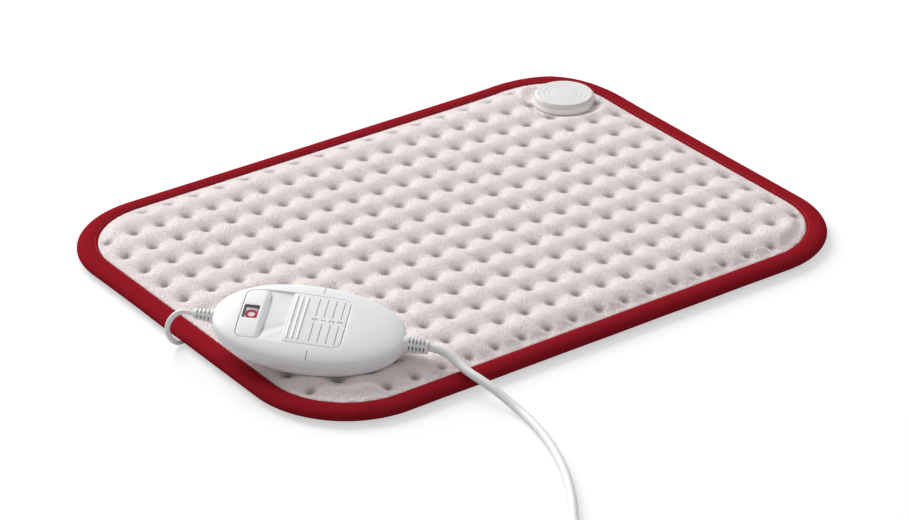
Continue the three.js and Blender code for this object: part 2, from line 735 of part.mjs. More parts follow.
// Folded tape: one section carried round the pad's outline
function bindingSection() {
  const low = BINDING_LIFT;
  const high = low + BINDING_HEIGHT;
  const slotLow = low + TAPE_THICKNESS;
  const slotHigh = PLUSH_BASE + PLUSH_SEAM + SEAT_GAP;
  const middle = (low + high) / 2;
  const inner = BINDING_WIDTH;
  const points = [
    [inner, slotHigh],
    [TAPE_FOLD, slotHigh],
    [TAPE_FOLD, slotLow],
    [inner, slotLow],
    [inner, low],
  ];
  for (let k = 0; k <= ROUND_STEPS; k += 1) {
    const angle = (Math.PI * k) / ROUND_STEPS;
    const inset = TAPE_ROUND * (1 - Math.sin(angle));
    points.push([inset, middle - (Math.cos(angle) * BINDING_HEIGHT) / 2]);
  }
  points.push([inner, slotHigh + TAPE_THICKNESS]);
  return points;
}

function binding() {
  const section = bindingSection();
  const rows = [];
  for (let quarter = 0; quarter < 4; quarter += 1) {
    for (let k = 0; k <= CORNER_STEPS; k += 1) {
      const angle = (Math.PI / 2) * (quarter + k / CORNER_STEPS);
      const mid = (Math.PI / 2) * (quarter + 0.5);
      const x = Math.sign(Math.cos(mid)) * (PAD_LENGTH / 2 - PAD_CORNER);
      const y = Math.sign(Math.sin(mid)) * (PAD_WIDTH / 2 - PAD_CORNER);
      rows.push(
        section.map(([inset, z]) => {
          const radius = PAD_CORNER - inset;
          return new THREE.Vector3(
            x + radius * Math.cos(angle),
            y + radius * Math.sin(angle),
            z,
          );
        }),
      );
    }
  }
  const count = section.length;
  const faces = [];
  rows.forEach((_, i) => {
    const here = i * count;
    const next = ((i + 1) % rows.length) * count;
    for (let k = 0; k < count; k += 1) {
      const m = (k + 1) % count;
      faces.push(here + k, next + k, next + m, here + k, next + m, here + m);
    }
  });
  return solid(facingOut(rows.flat(), faces));
}

piece("edge_binding", binding().subtract(groove), TAPE, pad);

// Coupling disc, clamped through the layers
const baseTop = COUPLING_SEAT + COUPLING_BASE_HEIGHT;
const baseRadius = COUPLING_BASE_DIAMETER / 2;
const hubCavity = blockBetween(
  new THREE.Vector3(-CUT, -PLUG_NOSE.y / 2 - SEAT_GAP, PLUG_Z - PLUG_NOSE.z / 2 - SEAT_GAP),
  new THREE.Vector3(
    -HUB_RADIUS + PLUG_NOSE.x,
    PLUG_NOSE.y / 2 + SEAT_GAP,
    PLUG_Z + PLUG_NOSE.z / 2 + SEAT_GAP,
  ),
);
const flatCut = new THREE.BoxGeometry(CUT, 2 * CUT, 2 * CUT)
  .translate(COUPLING_FLAT + CUT / 2, 0, COUPLING_SEAT + CUT)
  .rotateZ(COUPLING_FLAT_YAW);
const disc = turned(
  [
    [0, HUB_FLOOR],
    [HUB_RADIUS, HUB_FLOOR],
    [HUB_RADIUS, COUPLING_SEAT],
    [baseRadius - COUPLING_EDGE, COUPLING_SEAT],
    [baseRadius, COUPLING_SEAT + COUPLING_EDGE],
    [baseRadius, baseTop - COUPLING_EDGE],
    [baseRadius - COUPLING_EDGE, baseTop],
    [0, baseTop],
  ],
  DISC_SIDES,
);
const pinRows = [-PIN_PITCH, 0, PIN_PITCH];
const pinTip = -HUB_RADIUS + PLUG_NOSE.x + PIN_ROOT - PIN_LENGTH;
const pinEnd = pinTip + PIN_LENGTH;
const pinHole = PIN_DIAMETER + 2 * SEAT_GAP;
let socket = solid(disc).subtract(hubCavity).subtract(solid(flatCut));
let plugBody = blockBetween(
  new THREE.Vector3(-PLUG_BACK, -PLUG_BODY.y / 2, PLUG_LIFT),
  new THREE.Vector3(-HUB_RADIUS - SEAT_GAP, PLUG_BODY.y / 2, PLUG_LIFT + PLUG_BODY.z),
)
  .intersect(plugShape())
  .add(
    blockBetween(
      new THREE.Vector3(-HUB_RADIUS - PLUG_CORNER, -PLUG_NOSE.y / 2, PLUG_Z - PLUG_NOSE.z / 2),
      new THREE.Vector3(
        -HUB_RADIUS + PLUG_NOSE.x - SEAT_GAP,
        PLUG_NOSE.y / 2,
        PLUG_Z + PLUG_NOSE.z / 2,
      ),
    ),
  )
  .add(plugBoot());
pinRows.forEach((y, i) => {
  socket = socket.subtract(alongX(pinHole, -HUB_RADIUS, pinEnd + SEAT_GAP, y, PLUG_Z, PIN_SIDES));
  plugBody = plugBody.subtract(alongX(pinHole, pinTip - SEAT_GAP, 0, y, PLUG_Z, PIN_SIDES));
  const pin = alongX(PIN_DIAMETER, pinTip, pinEnd, y, PLUG_Z, PIN_SIDES);
  piece(`coupling_pin_${i + 1}`, pin, BRASS, coupling);
});
piece("coupling_base", socket, CREAM_PLASTIC, coupling);
piece("coupling_plug", plugBody, CREAM_PLASTIC, coupling);

function plugShape() {
  const length = PLUG_BODY.x + 2 * PLUG_CORNER;
  const middle = -HUB_RADIUS - SEAT_GAP - PLUG_BODY.x / 2 + PLUG_CORNER;
  return prism(roundedRect(length, PLUG_BODY.y, PLUG_CORNER, middle), -CUT, CUT);
}

function plugBoot() {
  const across = new THREE.Vector3(0, 1, 0);
  const thinEnd = new THREE.Vector3(-PLUG_BOOT_END, 0, LEAD_UNDER_Z);
  const wideEnd = new THREE.Vector3(-PLUG_BACK + PLUG_CORNER, 0, PLUG_Z);
  const thin = ringAt(thinEnd, across, PAD_LEAD_DIAMETER + 2 * SEAT_GAP, PIN_SIDES);
  return solid(loft([thin, ringAt(wideEnd, across, PLUG_BODY.z, PIN_SIDES)]));
}

const clampRing = upright(CLAMP_RING_DIAMETER, CLAMP_RING_LIFT, clampRingTop, 0, 0, DISC_SIDES)
  .subtract(upright(HUB_DIAMETER + 2 * SEAT_GAP, -CUT, CUT, 0, 0, DISC_SIDES))
  .subtract(
    blockBetween(
      new THREE.Vector3(-CUT, -PLUG_BODY.y / 2 - SEAT_GAP, -CUT),
      new THREE.Vector3(0, PLUG_BODY.y / 2 + SEAT_GAP, CUT),
    ),
  );
piece("coupling_clamp_ring", clampRing, WHITE_PLASTIC, coupling);

function capProfile() {
  const bottom = baseTop + SEAT_GAP;
  const top = bottom + COUPLING_CAP_HEIGHT;
  const radius = COUPLING_CAP_DIAMETER / 2;
  const profile = [
    [0, bottom],
    [radius, bottom],
    [radius, top - COUPLING_EDGE],
    [radius - COUPLING_EDGE, top],
  ];
  for (const ring of CAP_RINGS) {
    profile.push([ring + CAP_RING_WIDTH / 2, top]);
    profile.push([ring, top - CAP_RING_DEPTH]);
    profile.push([ring - CAP_RING_WIDTH / 2, top]);
  }
  profile.push([0, top]);
  return profile;
}

piece("coupling_cap", turned(capProfile(), DISC_SIDES), CREAM_PLASTIC, coupling);

// Controller housing
function pebble(offset, sides, steps) {
  const rings = [];
  for (let k = -steps; k <= steps; k += 1) {
    const tilt = (Math.PI / 2) * (k / steps) * POLE;
    const spread = Math.cos(tilt) ** (2 / PROFILE_POWER);
    const rise = signedPower(Math.sin(tilt), 2 / PROFILE_POWER);
    const height = (k > 0 ? CROWN_RISE : BELLY_DROP) - offset;
    rings.push(
      Array.from({ length: sides }, (_, i) => {
        const angle = (2 * Math.PI * i) / sides;
        const x = (HALF_LENGTH - offset) * signedPower(Math.cos(angle), 2 / PLAN_POWER);
        const y = (HALF_WIDTH - offset) * signedPower(Math.sin(angle), 2 / PLAN_POWER);
        return new THREE.Vector3(x * spread, y * spread, rise * height);
      }),
    );
  }
  return solid(loft(rings));
}

function recessOutline(grow) {
  const length = RECESS_LENGTH + 2 * grow;
  const width = RECESS_WIDTH + 2 * grow;
  return roundedRect(length, width, RECESS_CORNER + grow, RECESS_X);
}

// Half space above or below the parting plane
function half(side) {
  const gap = (side * SEAT_GAP) / 2;
  const far = 2 * CUT;
  const low = new THREE.Vector3(-far, -far, side > 0 ? gap : -far);
  const high = new THREE.Vector3(far, far, side > 0 ? far : gap);
  return blockBetween(low, high);
}

function glandHole(end, size) {
  const wide = size.foot + 2 * SEAT_GAP;
  const narrow = size.collar + 2 * SEAT_GAP;
  const foot = HALF_LENGTH - GLAND_BASE - SEAT_GAP;
  const hole = (diameter, from) => {
    const [low, high] = end > 0 ? [from, from + CUT] : [-from - CUT, -from];
    return alongX(diameter, low, high, 0, GLAND_DROP);
  };
  return hole(wide, foot).add(hole(narrow, foot - GLAND_COLLAR));
}

const outer = pebble(0, SHELL_SIDES, SHELL_RINGS);
const inner = pebble(SHELL_WALL, CAVITY_SIDES, CAVITY_RINGS);
const midWall = pebble(SHELL_WALL / 2, CAVITY_SIDES, CAVITY_RINGS); // where bosses root
const glandHoles = glandHole(-1, PAD_GLAND).add(glandHole(1, MAINS_GLAND));
const screwPlaces = [
  [1, 1],
  [1, -1],
  [-1, 1],
  [-1, -1],
].map(([x, y]) => new THREE.Vector2(x * SCREW_PLACE.x, y * SCREW_PLACE.y));

// Half space on the display's side of a place along the housing
function before(x) {
  const far = 2 * CUT;
  return blockBetween(new THREE.Vector3(-far, -far, -far), new THREE.Vector3(x, far, far));
}

function upperShell() {
  const tub = prism(recessOutline(RECESS_FLOOR_WALL), RECESS_UNDERSIDE, CUT);
  const slot = blockBetween(
    new THREE.Vector3(
      STEM_X - STEM_SIZE.x / 2 - SLIDER_TRAVEL - SLIDE_GAP,
      -STEM_SIZE.y / 2 - SLIDE_GAP,
      0,
    ),
    new THREE.Vector3(STEM_X + STEM_SIZE.x / 2 + SLIDE_GAP, STEM_SIZE.y / 2 + SLIDE_GAP, CUT),
  );
  let shell = outer.intersect(half(1)).subtract(inner.subtract(tub));
  for (const place of screwPlaces) {
    const boss = upright(UPPER_BOSS, 2 * SEAT_GAP, CUT, place.x, place.y);
    shell = shell.add(boss.intersect(midWall));
  }
  for (const place of screwPlaces) {
    const bore = SCREW_SHANK + 2 * SEAT_GAP;
    shell = shell.subtract(upright(bore, 0, SCREW_TIP + SEAT_GAP, place.x, place.y, PIN_SIDES));
  }
  const valley = prism(recessOutline(0), SLIDER_FLOOR, CUT);
  const pocket = prism(recessOutline(0), RECESS_FLOOR, CUT).intersect(before(POCKET_END));
  return shell.subtract(valley).subtract(pocket).subtract(slot).subtract(glandHoles);
}

function lowerShell() {
  let shell = outer.intersect(half(-1)).subtract(inner);
  const boardBottom = BOARD_TOP - BOARD_SIZE.z - SEAT_GAP;
  for (const [x, y] of [[1, 1], [1, -1], [-1, 1], [-1, -1]]) {
    const place = new THREE.Vector2(x, y).multiply(POST_PLACE);
    const post = upright(POST_DIAMETER, -CUT, boardBottom, place.x, place.y, PIN_SIDES);
    shell = shell.add(post.intersect(midWall));
  }
  for (const place of screwPlaces) {
    const boss = upright(LOWER_BOSS, -CUT, -SEAT_GAP, place.x, place.y);
    shell = shell.add(boss.intersect(midWall));
  }
  for (const place of screwPlaces) {
    const head = SCREW_HEAD + 2 * SEAT_GAP;
    const bore = SCREW_SHANK + 2 * SEAT_GAP;
    shell = shell
      .subtract(upright(head, -CUT, SCREW_SEAT, place.x, place.y))
      .subtract(upright(bore, -CUT, 0, place.x, place.y, PIN_SIDES));
  }
  return shell.subtract(glandHoles);
}

piece("upper_shell", upperShell(), WHITE_PLASTIC, control);
piece("lower_shell", lowerShell(), WHITE_PLASTIC, control);
screwPlaces.forEach((place, i) => {
  const headBottom = SCREW_SEAT - SEAT_GAP - SCREW_HEAD_HEIGHT;
  const screw = upright(SCREW_HEAD, headBottom, SCREW_SEAT - SEAT_GAP, place.x, place.y)
    .add(upright(SCREW_SHANK, headBottom, SCREW_TIP, place.x, place.y, PIN_SIDES));
  piece(`housing_screw_${i + 1}`, screw, STEEL, control);
});

// Height of the housing's outside
function crownAt(x, y = 0) {
  const plan = Math.abs(x / HALF_LENGTH) ** PLAN_POWER + Math.abs(y / HALF_WIDTH) ** PLAN_POWER;
  const spread = Math.min(1, plan ** (1 / PLAN_POWER));
  return CROWN_RISE * (1 - spread ** PROFILE_POWER) ** (1 / PROFILE_POWER);
}

// Slider and display share the recess, with a slanted face between them whose upper edge
// runs straight across the crown.
function leaning(edge, towards) {
  const far = towards * 2 * CUT;
  const low = SLIDER_FLOOR + SEAT_GAP;
  const top = 2 * CROWN_RISE;
  const at = (z) => edge + (CROWN_RISE - z) * SLOPE_RUN;
  const side = new THREE.Shape([
    new THREE.Vector2(at(low), low),
    new THREE.Vector2(far, low),
    new THREE.Vector2(far, top),
    new THREE.Vector2(at(top), top),
  ]);
  const options = { depth: RECESS_WIDTH, steps: SLOPE_STEPS, bevelEnabled: false };
  const geometry = new THREE.ExtrudeGeometry(side, options);
  geometry.translate(0, 0, -RECESS_WIDTH / 2).rotateX(Math.PI / 2);
  const place = geometry.attributes.position;
  for (let i = 0; i < place.count; i += 1) {
    const fall = CROWN_RISE - crownAt(edge, place.getY(i));
    place.setX(i, place.getX(i) - fall * SLOPE_RUN);
  }
  return solid(geometry);
}

function sliderPlate() {
  const fit = prism(recessOutline(-SLIDE_GAP), RECESS_FLOOR - CUT, CUT);
  const grown = pebble(-GRIP_STAND, SHELL_SIDES, SHELL_RINGS);
  const room = leaning(SLIDER_EDGE, 1).intersect(fit);
  let plate = room.intersect(outer);
  for (let i = 0; i < GRIP_RIBS; i += 1) {
    const x = SLIDER_EDGE + GRIP_FIRST + i * GRIP_PITCH;
    const z = CROWN_RISE - GRIP_DIAMETER / 2 + GRIP_STAND;
    const rib = alongY(GRIP_DIAMETER, GRIP_LENGTH, x, z);
    plate = plate.add(rib.intersect(grown).intersect(room));
  }
  const stem = blockBetween(
    new THREE.Vector3(STEM_X - STEM_SIZE.x / 2, -STEM_SIZE.y / 2, RECESS_FLOOR - STEM_DROP),
    new THREE.Vector3(STEM_X + STEM_SIZE.x / 2, STEM_SIZE.y / 2, SLIDER_FLOOR + 2 * SEAT_GAP),
  );
  return plate.add(stem);
}

function windowHole(grow, bottom) {
  return blockBetween(
    new THREE.Vector3(WINDOW_X - WINDOW_SIZE.x / 2 - grow, -WINDOW_SIZE.y / 2 - grow, bottom),
    new THREE.Vector3(WINDOW_X + WINDOW_SIZE.x / 2 + grow, WINDOW_SIZE.y / 2 + grow, CUT),
  );
}

const ledge = crownAt(WINDOW_X) - WINDOW_LEDGE_DROP;
const frameFoot = prism(
  recessOutline(-SEAT_GAP),
  RECESS_FLOOR + SEAT_GAP,
  SLIDER_FLOOR + 2 * SEAT_GAP,
).intersect(before(POCKET_END - SEAT_GAP));
const displayFrame = leaning(FRAME_EDGE, -1)
  .add(frameFoot)
  .intersect(prism(recessOutline(-SEAT_GAP), RECESS_FLOOR - CUT, CUT))
  .intersect(outer)
  .subtract(windowHole(0, ledge))
  .subtract(windowHole(-WINDOW_LEDGE, 0));
const lensBase = ledge + SEAT_GAP;
const lens = windowHole(-SEAT_GAP, lensBase).intersect(
  blockBetween(
    new THREE.Vector3(-2 * CUT, -CUT, 0),
    new THREE.Vector3(CUT, CUT, lensBase + LENS_THICKNESS),
  ),
);
const displayBase = RECESS_FLOOR + SEAT_GAP;
const display = windowHole(-WINDOW_LEDGE - SEAT_GAP, displayBase).intersect(
  blockBetween(
    new THREE.Vector3(-2 * CUT, -CUT, 0),
    new THREE.Vector3(CUT, CUT, displayBase + DISPLAY_THICKNESS),
  ),
);
piece("slider_switch", sliderPlate(), WHITE_PLASTIC, slider);
piece("display_frame", displayFrame, WHITE_PLASTIC, control);
piece("window_lens", lens, CLEAR, control);
piece("digit_display", display, RED_LIGHT, control);

// Contact carrier on the slider's stem, with a notch for each setting
const carrierTop = RECESS_UNDERSIDE - SEAT_GAP;
const carrierBottom = carrierTop - CARRIER_BLOCK.z;
const noseX = STEM_X - SLIDER_TRAVEL / 2;
const carrierSide = CARRIER_BLOCK.y / 2;

function contactCarrier() {
  let body = blockBetween(
    new THREE.Vector3(STEM_X - CARRIER_BLOCK.x / 2, -carrierSide, carrierBottom),
    new THREE.Vector3(STEM_X + CARRIER_BLOCK.x / 2, carrierSide, carrierTop),
  ).subtract(
    blockBetween(
      new THREE.Vector3(
        STEM_X - STEM_SIZE.x / 2 - SEAT_GAP,
        -STEM_SIZE.y / 2 - SEAT_GAP,
        RECESS_FLOOR - STEM_DROP - SEAT_GAP,
      ),
      new THREE.Vector3(STEM_X + STEM_SIZE.x / 2 + SEAT_GAP, STEM_SIZE.y / 2 + SEAT_GAP, CUT),
    ),
  );
  for (let i = 0; i <= SETTINGS; i += 1) {
    body = body.subtract(notch(noseX + i * SCALE_PITCH));
  }
  return body;
}

function notch(x) {
  const shape = new THREE.Shape([
    new THREE.Vector2(x - NOTCH_WIDTH / 2, carrierSide + NOTCH_DEPTH),
    new THREE.Vector2(x - NOTCH_WIDTH / 2, carrierSide),
    new THREE.Vector2(x, carrierSide - NOTCH_DEPTH),
    new THREE.Vector2(x + NOTCH_WIDTH / 2, carrierSide),
    new THREE.Vector2(x + NOTCH_WIDTH / 2, carrierSide + NOTCH_DEPTH),
  ]);
  return prism(shape, -CUT, CUT);
}

piece("contact_carrier", contactCarrier(), DARK_PLASTIC, slider);

// Wiper: a bent strip under the carrier whose two arms reach the board's tracks
function wiper() {
  const top = carrierBottom - SEAT_GAP;
  const low = BOARD_TOP + SEAT_GAP;
  const line = [
    [-WIPER_REACH, low],
    [-WIPER_FLAT, top - SPRING_STRIP],
    [WIPER_FLAT, top - SPRING_STRIP],
    [WIPER_REACH, low],
    [WIPER_REACH, low + SPRING_STRIP],
    [WIPER_FLAT, top],
    [-WIPER_FLAT, top],
    [-WIPER_REACH, low + SPRING_STRIP],
  ];
  const shape = new THREE.Shape(line.map(([x, z]) => new THREE.Vector2(STEM_X + x, z)));
  const geometry = new THREE.ExtrudeGeometry(shape, {
    depth: WIPER_WIDTH,
    bevelEnabled: false,
  });
  geometry.translate(0, 0, -WIPER_WIDTH / 2);
  return geometry.rotateX(Math.PI / 2);
}

piece("wiper_spring", wiper(), BRASS, slider);

// Detent: a leaf with a nose that lies in a notch, on two legs that stand on the board
function detentSpring() {
  const near = carrierSide + SEAT_GAP;
  const far = near + SPRING_STRIP;
  const tip = carrierSide - NOTCH_DEPTH + 2 * SEAT_GAP;
  const nose = NOTCH_WIDTH / 2;
  const reach = SPRING_SPAN / 2;
  const safe = Math.max(tip, near - SEAT_GAP / 2);
  const shape = new THREE.Shape(
    [
      [-reach, near],
      [-nose, near],
      [0, safe],
      [nose, near],
      [reach, near],
      [reach, far],
      [-reach, far],
    ].map(([x, y]) => new THREE.Vector2(noseX + x, y)),
  );
  const top = carrierTop - SEAT_GAP;
  let spring = prism(shape, top - SPRING_HEIGHT, top);
  for (const side of [-1, 1]) {
    const x = noseX + side * (reach - SPRING_STRIP);
    spring = spring.add(
      blockBetween(
        new THREE.Vector3(x - SPRING_STRIP, near, BOARD_TOP + SEAT_GAP),
        new THREE.Vector3(x + SPRING_STRIP, far, top),
      ),
    );
  }
  return spring;
}

piece("detent_spring", detentSpring(), STEEL, control);

// Board and what stands on it
function onBoard(size, place) {
  const low = BOARD_TOP + SEAT_GAP;
  return block(size, new THREE.Vector3(place.x, place.y, low + size.z / 2));
}

const boardShape = roundedRect(BOARD_SIZE.x, BOARD_SIZE.y, BOARD_CORNER);
piece("circuit_board", prism(boardShape, BOARD_TOP - BOARD_SIZE.z, BOARD_TOP), BOARD_GREEN, control);
const fuseZ = BOARD_TOP + SEAT_GAP + FUSE_CAP / 2;
const fuseEnd = FUSE_LENGTH / 2;
const fuseCap = (from, to) =>
  alongX(FUSE_CAP, FUSE_PLACE.x + from, FUSE_PLACE.x + to, FUSE_PLACE.y, fuseZ);
const fuse = alongX(
  FUSE_DIAMETER,
  FUSE_PLACE.x - fuseEnd,
  FUSE_PLACE.x + fuseEnd,
  FUSE_PLACE.y,
  fuseZ,
)
  .add(fuseCap(-fuseEnd, -fuseEnd + FUSE_CAP_LENGTH))
  .add(fuseCap(fuseEnd - FUSE_CAP_LENGTH, fuseEnd));
piece("fuse", fuse, STEEL, control);
piece("capacitor", onBoard(CAPACITOR_SIZE, CAPACITOR_PLACE), DARK_PLASTIC, control);
const tabPlace = new THREE.Vector2(TRIAC_PLACE.x + TRIAC_SIZE.x / 2, TRIAC_PLACE.y);
const triac = onBoard(TRIAC_SIZE, TRIAC_PLACE).add(onBoard(TRIAC_TAB, tabPlace));
piece("triac", triac, DARK_PLASTIC, control);

// Strain reliefs: slotted cones with a collar in the wall and a flange behind it
function gland(size) {
  const foot = HALF_LENGTH - GLAND_BASE;
  const flangeFace = foot - GLAND_COLLAR;
  const nose = foot + size.reach;
  const profile = [
    [0, flangeFace - GLAND_FLANGE],
    [size.flange / 2, flangeFace - GLAND_FLANGE],
    [size.flange / 2, flangeFace],
    [size.collar / 2, flangeFace],
    [size.collar / 2, foot],
    [size.foot / 2, foot],
    [size.nose / 2, nose],
    [0, nose],
  ];
  let body = solid(turned(profile, ROD_SIDES));
  const core = (size.nose * GLAND_CORE) / 2;
  const span = size.nose * GLAND_SLOT_SPAN;
  const first = foot + GLAND_LIP;
  const pitch = (nose - GLAND_LIP - GLAND_SLOT - first) / (GLAND_ROWS - 1);
  for (let row = 0; row < GLAND_ROWS; row += 1) {
    const z = first + row * pitch;
    for (const side of [-1, 1]) {
      const offset = side * (core + CUT / 2);
      const centre = row % 2 ? [offset, 0] : [0, offset];
      const cutter = new THREE.BoxGeometry(
        row % 2 ? CUT : span,
        row % 2 ? span : CUT,
        GLAND_SLOT,
      );
      body = body.subtract(solid(cutter.translate(centre[0], centre[1], z + GLAND_SLOT / 2)));
    }
  }
  return geometryOf(body);
}

function placedGland(end, size) {
  const geometry = gland(size).rotateY((end * Math.PI) / 2);
  return geometry.translate(0, 0, GLAND_DROP);
}

piece("pad_lead_gland", placedGland(-1, PAD_GLAND), LEAD_JACKET, control);
piece("mains_lead_gland", placedGland(1, MAINS_GLAND), LEAD_JACKET, control);

// Ends of the leads inside the housing, from each relief to its terminal
for (const [name, end] of [
  ["pad_lead", -1],
  ["mains_lead", 1],
]) {
  const terminal = onBoard(TERMINAL_SIZE, new THREE.Vector2(end * TERMINAL_X, 0));
  const relief = HALF_LENGTH - GLAND_BASE - GLAND_COLLAR - GLAND_FLANGE - SEAT_GAP;
  const outside = end * relief;
  const inside = end * (TERMINAL_X + TERMINAL_SIZE.x / 2 + SEAT_GAP);
  const core = alongX(
    CORE_DIAMETER,
    Math.min(outside, inside),
    Math.max(outside, inside),
    0,
    GLAND_DROP,
    PIN_SIDES,
  );
  piece(`${name}_terminal`, terminal, DARK_PLASTIC, control);
  piece(`${name}_core`, core, LEAD_JACKET, control);
}

// Free leads
const padLead = tube(PAD_LEAD_ROUTE, PAD_LEAD_DIAMETER, LEAD_SIDES, LEAD_STEPS);
piece("pad_lead", padLead, LEAD_JACKET, heatingPad);
const under = tube(underRoute(LEAD_UNDER_Z), PAD_LEAD_DIAMETER, LEAD_SIDES, UNDER_STEPS);
piece("pad_lead_under", under, LEAD_JACKET, heatingPad);

const COIL_OUTER = COIL_INNER + COIL_TURNS * COIL_PITCH;
const COIL_BASE = SEAT_GAP + TIE_THICKNESS + SEAT_GAP + MAINS_LEAD_DIAMETER / 2;
const COIL_LAYER_TURN = 2 * Math.PI * COIL_TURNS;
const COIL_FULL = 2 * COIL_LAYER_TURN + 2 * Math.PI * COIL_EXTRA;

// Point of the coil after a turn: in on the lower layer, out again on the upper one.
function coilPoint(turn) {
  const fromMiddle = turn - COIL_LAYER_TURN;
  const radius = COIL_INNER + (COIL_PITCH * Math.abs(fromMiddle)) / (2 * Math.PI);
  const climb = THREE.MathUtils.smoothstep(fromMiddle, -Math.PI / 2, Math.PI / 2);
  const angle = COIL_START + turn;
  return new THREE.Vector3(
    COIL_CENTRE.x + radius * Math.cos(angle),
    COIL_CENTRE.y + radius * Math.sin(angle),
    COIL_BASE + climb * COIL_PITCH,
  );
}

function coilHeading(turn) {
  const angle = COIL_START + turn;
  return new THREE.Vector3(-Math.sin(angle), Math.cos(angle), 0);
}

function coilEnd(turn, side, distance) {
  return coilPoint(turn).addScaledVector(coilHeading(turn), side * distance);
}

function coil() {
  const steps = Math.round((COIL_FULL / (2 * Math.PI)) * COIL_STEPS);
  const rings = [];
  const add = (turn, point) => {
    const heading = coilHeading(turn);
    const sideways = new THREE.Vector3(heading.y, -heading.x, 0);
    rings.push(ringAt(point, sideways, MAINS_LEAD_DIAMETER, COIL_SIDES));
  };
  add(0, coilEnd(0, -1, MAINS_LEAD_DIAMETER));
  for (let i = 0; i <= steps; i += 1) {
    const turn = (COIL_FULL * i) / steps;
    add(turn, coilPoint(turn));
  }
  add(COIL_FULL, coilEnd(COIL_FULL, 1, MAINS_LEAD_DIAMETER));
  return loft(rings);
}

// Least distance between two stretches of the coil, less the lead's diameter
function coilGap() {
  const fine = 4 * COIL_STEPS;
  const count = Math.round((COIL_FULL / (2 * Math.PI)) * fine);
  const points = Array.from({ length: count + 1 }, (_, i) => coilPoint((COIL_FULL * i) / count));
  let least = Infinity;
  points.forEach((p, i) => {
    for (let j = i + fine / 2; j <= count; j += 1) least = Math.min(least, p.distanceTo(points[j]));
  });
  return least - MAINS_LEAD_DIAMETER;
}

console.log(`coil: least gap to itself ${coilGap().toFixed(2)} mm`);
piece("mains_coil", coil(), LEAD_JACKET, heatingPad);

const coilIn = MAINS_LEAD_DIAMETER + SEAT_GAP;
const MAINS_ROUTE = [
  ...leadStart(1, MAINS_NOSE, MAINS_LEAD_STRAIGHT),
  fromCorner(107.2, 25.8, 20.2),
  fromCorner(109.5, 21.7, 19.1),
  fromCorner(110.9, 17.4, 17.5),
  fromCorner(112.1, 11.8, 15.2),
  fromCorner(112.7, 5.8, 13.7),
  fromCorner(113.6, -0.6, 12.6),
  fromCorner(115.1, -7.4, 11.4),
  fromCorner(116.8, -15.2, 9.6),
  fromCorner(118.5, -23.2, 7.3),
  fromCorner(119.7, -31.6, 5.1),
  fromCorner(120.1, -40.4, 3.6),
  fromCorner(119.1, -50.5, 3.1),
  fromCorner(115.8, -67, 3.1),
  fromCorner(109.4, -88, 3.1),
  fromCorner(99.6, -111, 3.1),
  fromCorner(86, -135, 3.2),
  fromCorner(69.4, -159, 3.4),
  fromCorner(51.6, -183.5, 3.8),
  coilEnd(0, -1, coilIn + MAINS_LEAD_DIAMETER),
  coilEnd(0, -1, coilIn),
];
const mainsLead = tube(MAINS_ROUTE, MAINS_LEAD_DIAMETER, MAINS_SIDES, MAINS_STEPS);
piece("mains_lead", mainsLead, LEAD_JACKET, heatingPad);

function fromPlug(x) {
  return mainsPlug.localToWorld(new THREE.Vector3(x, 0, 0));
}

const TAIL_ROUTE = [
  coilEnd(COIL_FULL, 1, coilIn),
  coilEnd(COIL_FULL, 1, coilIn + MAINS_LEAD_DIAMETER),
  fromPlug(-SEAT_GAP - 2 * MAINS_LEAD_DIAMETER),
  fromPlug(-SEAT_GAP),
];
const mainsTail = tube(TAIL_ROUTE, MAINS_LEAD_DIAMETER, MAINS_SIDES, TAIL_STEPS);
piece("mains_lead_tail", mainsTail, LEAD_JACKET, heatingPad);

// Strap round the coil's turns, opposite its ends
function coilTie() {
  const clear = SEAT_GAP + MAINS_LEAD_DIAMETER / 2;
  const width = COIL_OUTER - COIL_INNER + 2 * clear;
  const height = COIL_PITCH + 2 * clear;
  const grow = 2 * TIE_THICKNESS;
  const shape = roundedRect(width + grow, height + grow, TIE_CORNER + TIE_THICKNESS);
  shape.holes.push(roundedRect(width, height, TIE_CORNER));
  const geometry = new THREE.ExtrudeGeometry(shape, {
    depth: TIE_WIDTH,
    bevelEnabled: false,
    curveSegments: TIE_STEPS,
  });
  const middle = (COIL_OUTER + COIL_INNER) / 2;
  geometry.translate(0, 0, -TIE_WIDTH / 2).rotateX(Math.PI / 2);
  geometry.translate(middle, 0, COIL_BASE + COIL_PITCH / 2);
  geometry.rotateZ(COIL_START + Math.PI);
  return geometry.translate(COIL_CENTRE.x, COIL_CENTRE.y, 0);
}

piece("coil_tie", coilTie(), DARK_PLASTIC, heatingPad);

// Two-pin mains plug
function plugRing([x, width, height]) {
  return Array.from({ length: PLUG_SIDES }, (_, i) => {
    const angle = (2 * Math.PI * (i + 0.5)) / PLUG_SIDES;
    const y = width * signedPower(Math.cos(angle), 2 / PLUG_POWER);
    const z = height * signedPower(Math.sin(angle), 2 / PLUG_POWER);
    return new THREE.Vector3(x, y, z);
  });
}

piece("mains_plug", loft(PLUG_STATIONS.map(plugRing)), LEAD_JACKET, mainsPlug);
const plugFace = PLUG_STATIONS.at(-1)[0] + SEAT_GAP;
[-1, 1].forEach((side, i) => {
  const radius = PLUG_PIN_DIAMETER / 2;
  const end = plugFace + PLUG_PIN_LENGTH;
  const profile = [
    [0, plugFace],
    [radius, plugFace],
    [radius, end - radius / 2],
    [radius / 2, end],
    [0, end],
  ];
  const pin = turned(profile, PIN_SIDES).rotateY(Math.PI / 2);
  pin.translate(0, (side * PLUG_PIN_PITCH) / 2, 0);
  piece(`plug_pin_${i + 1}`, pin, BRASS, mainsPlug);
});

export default heatingPad;
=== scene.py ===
import math

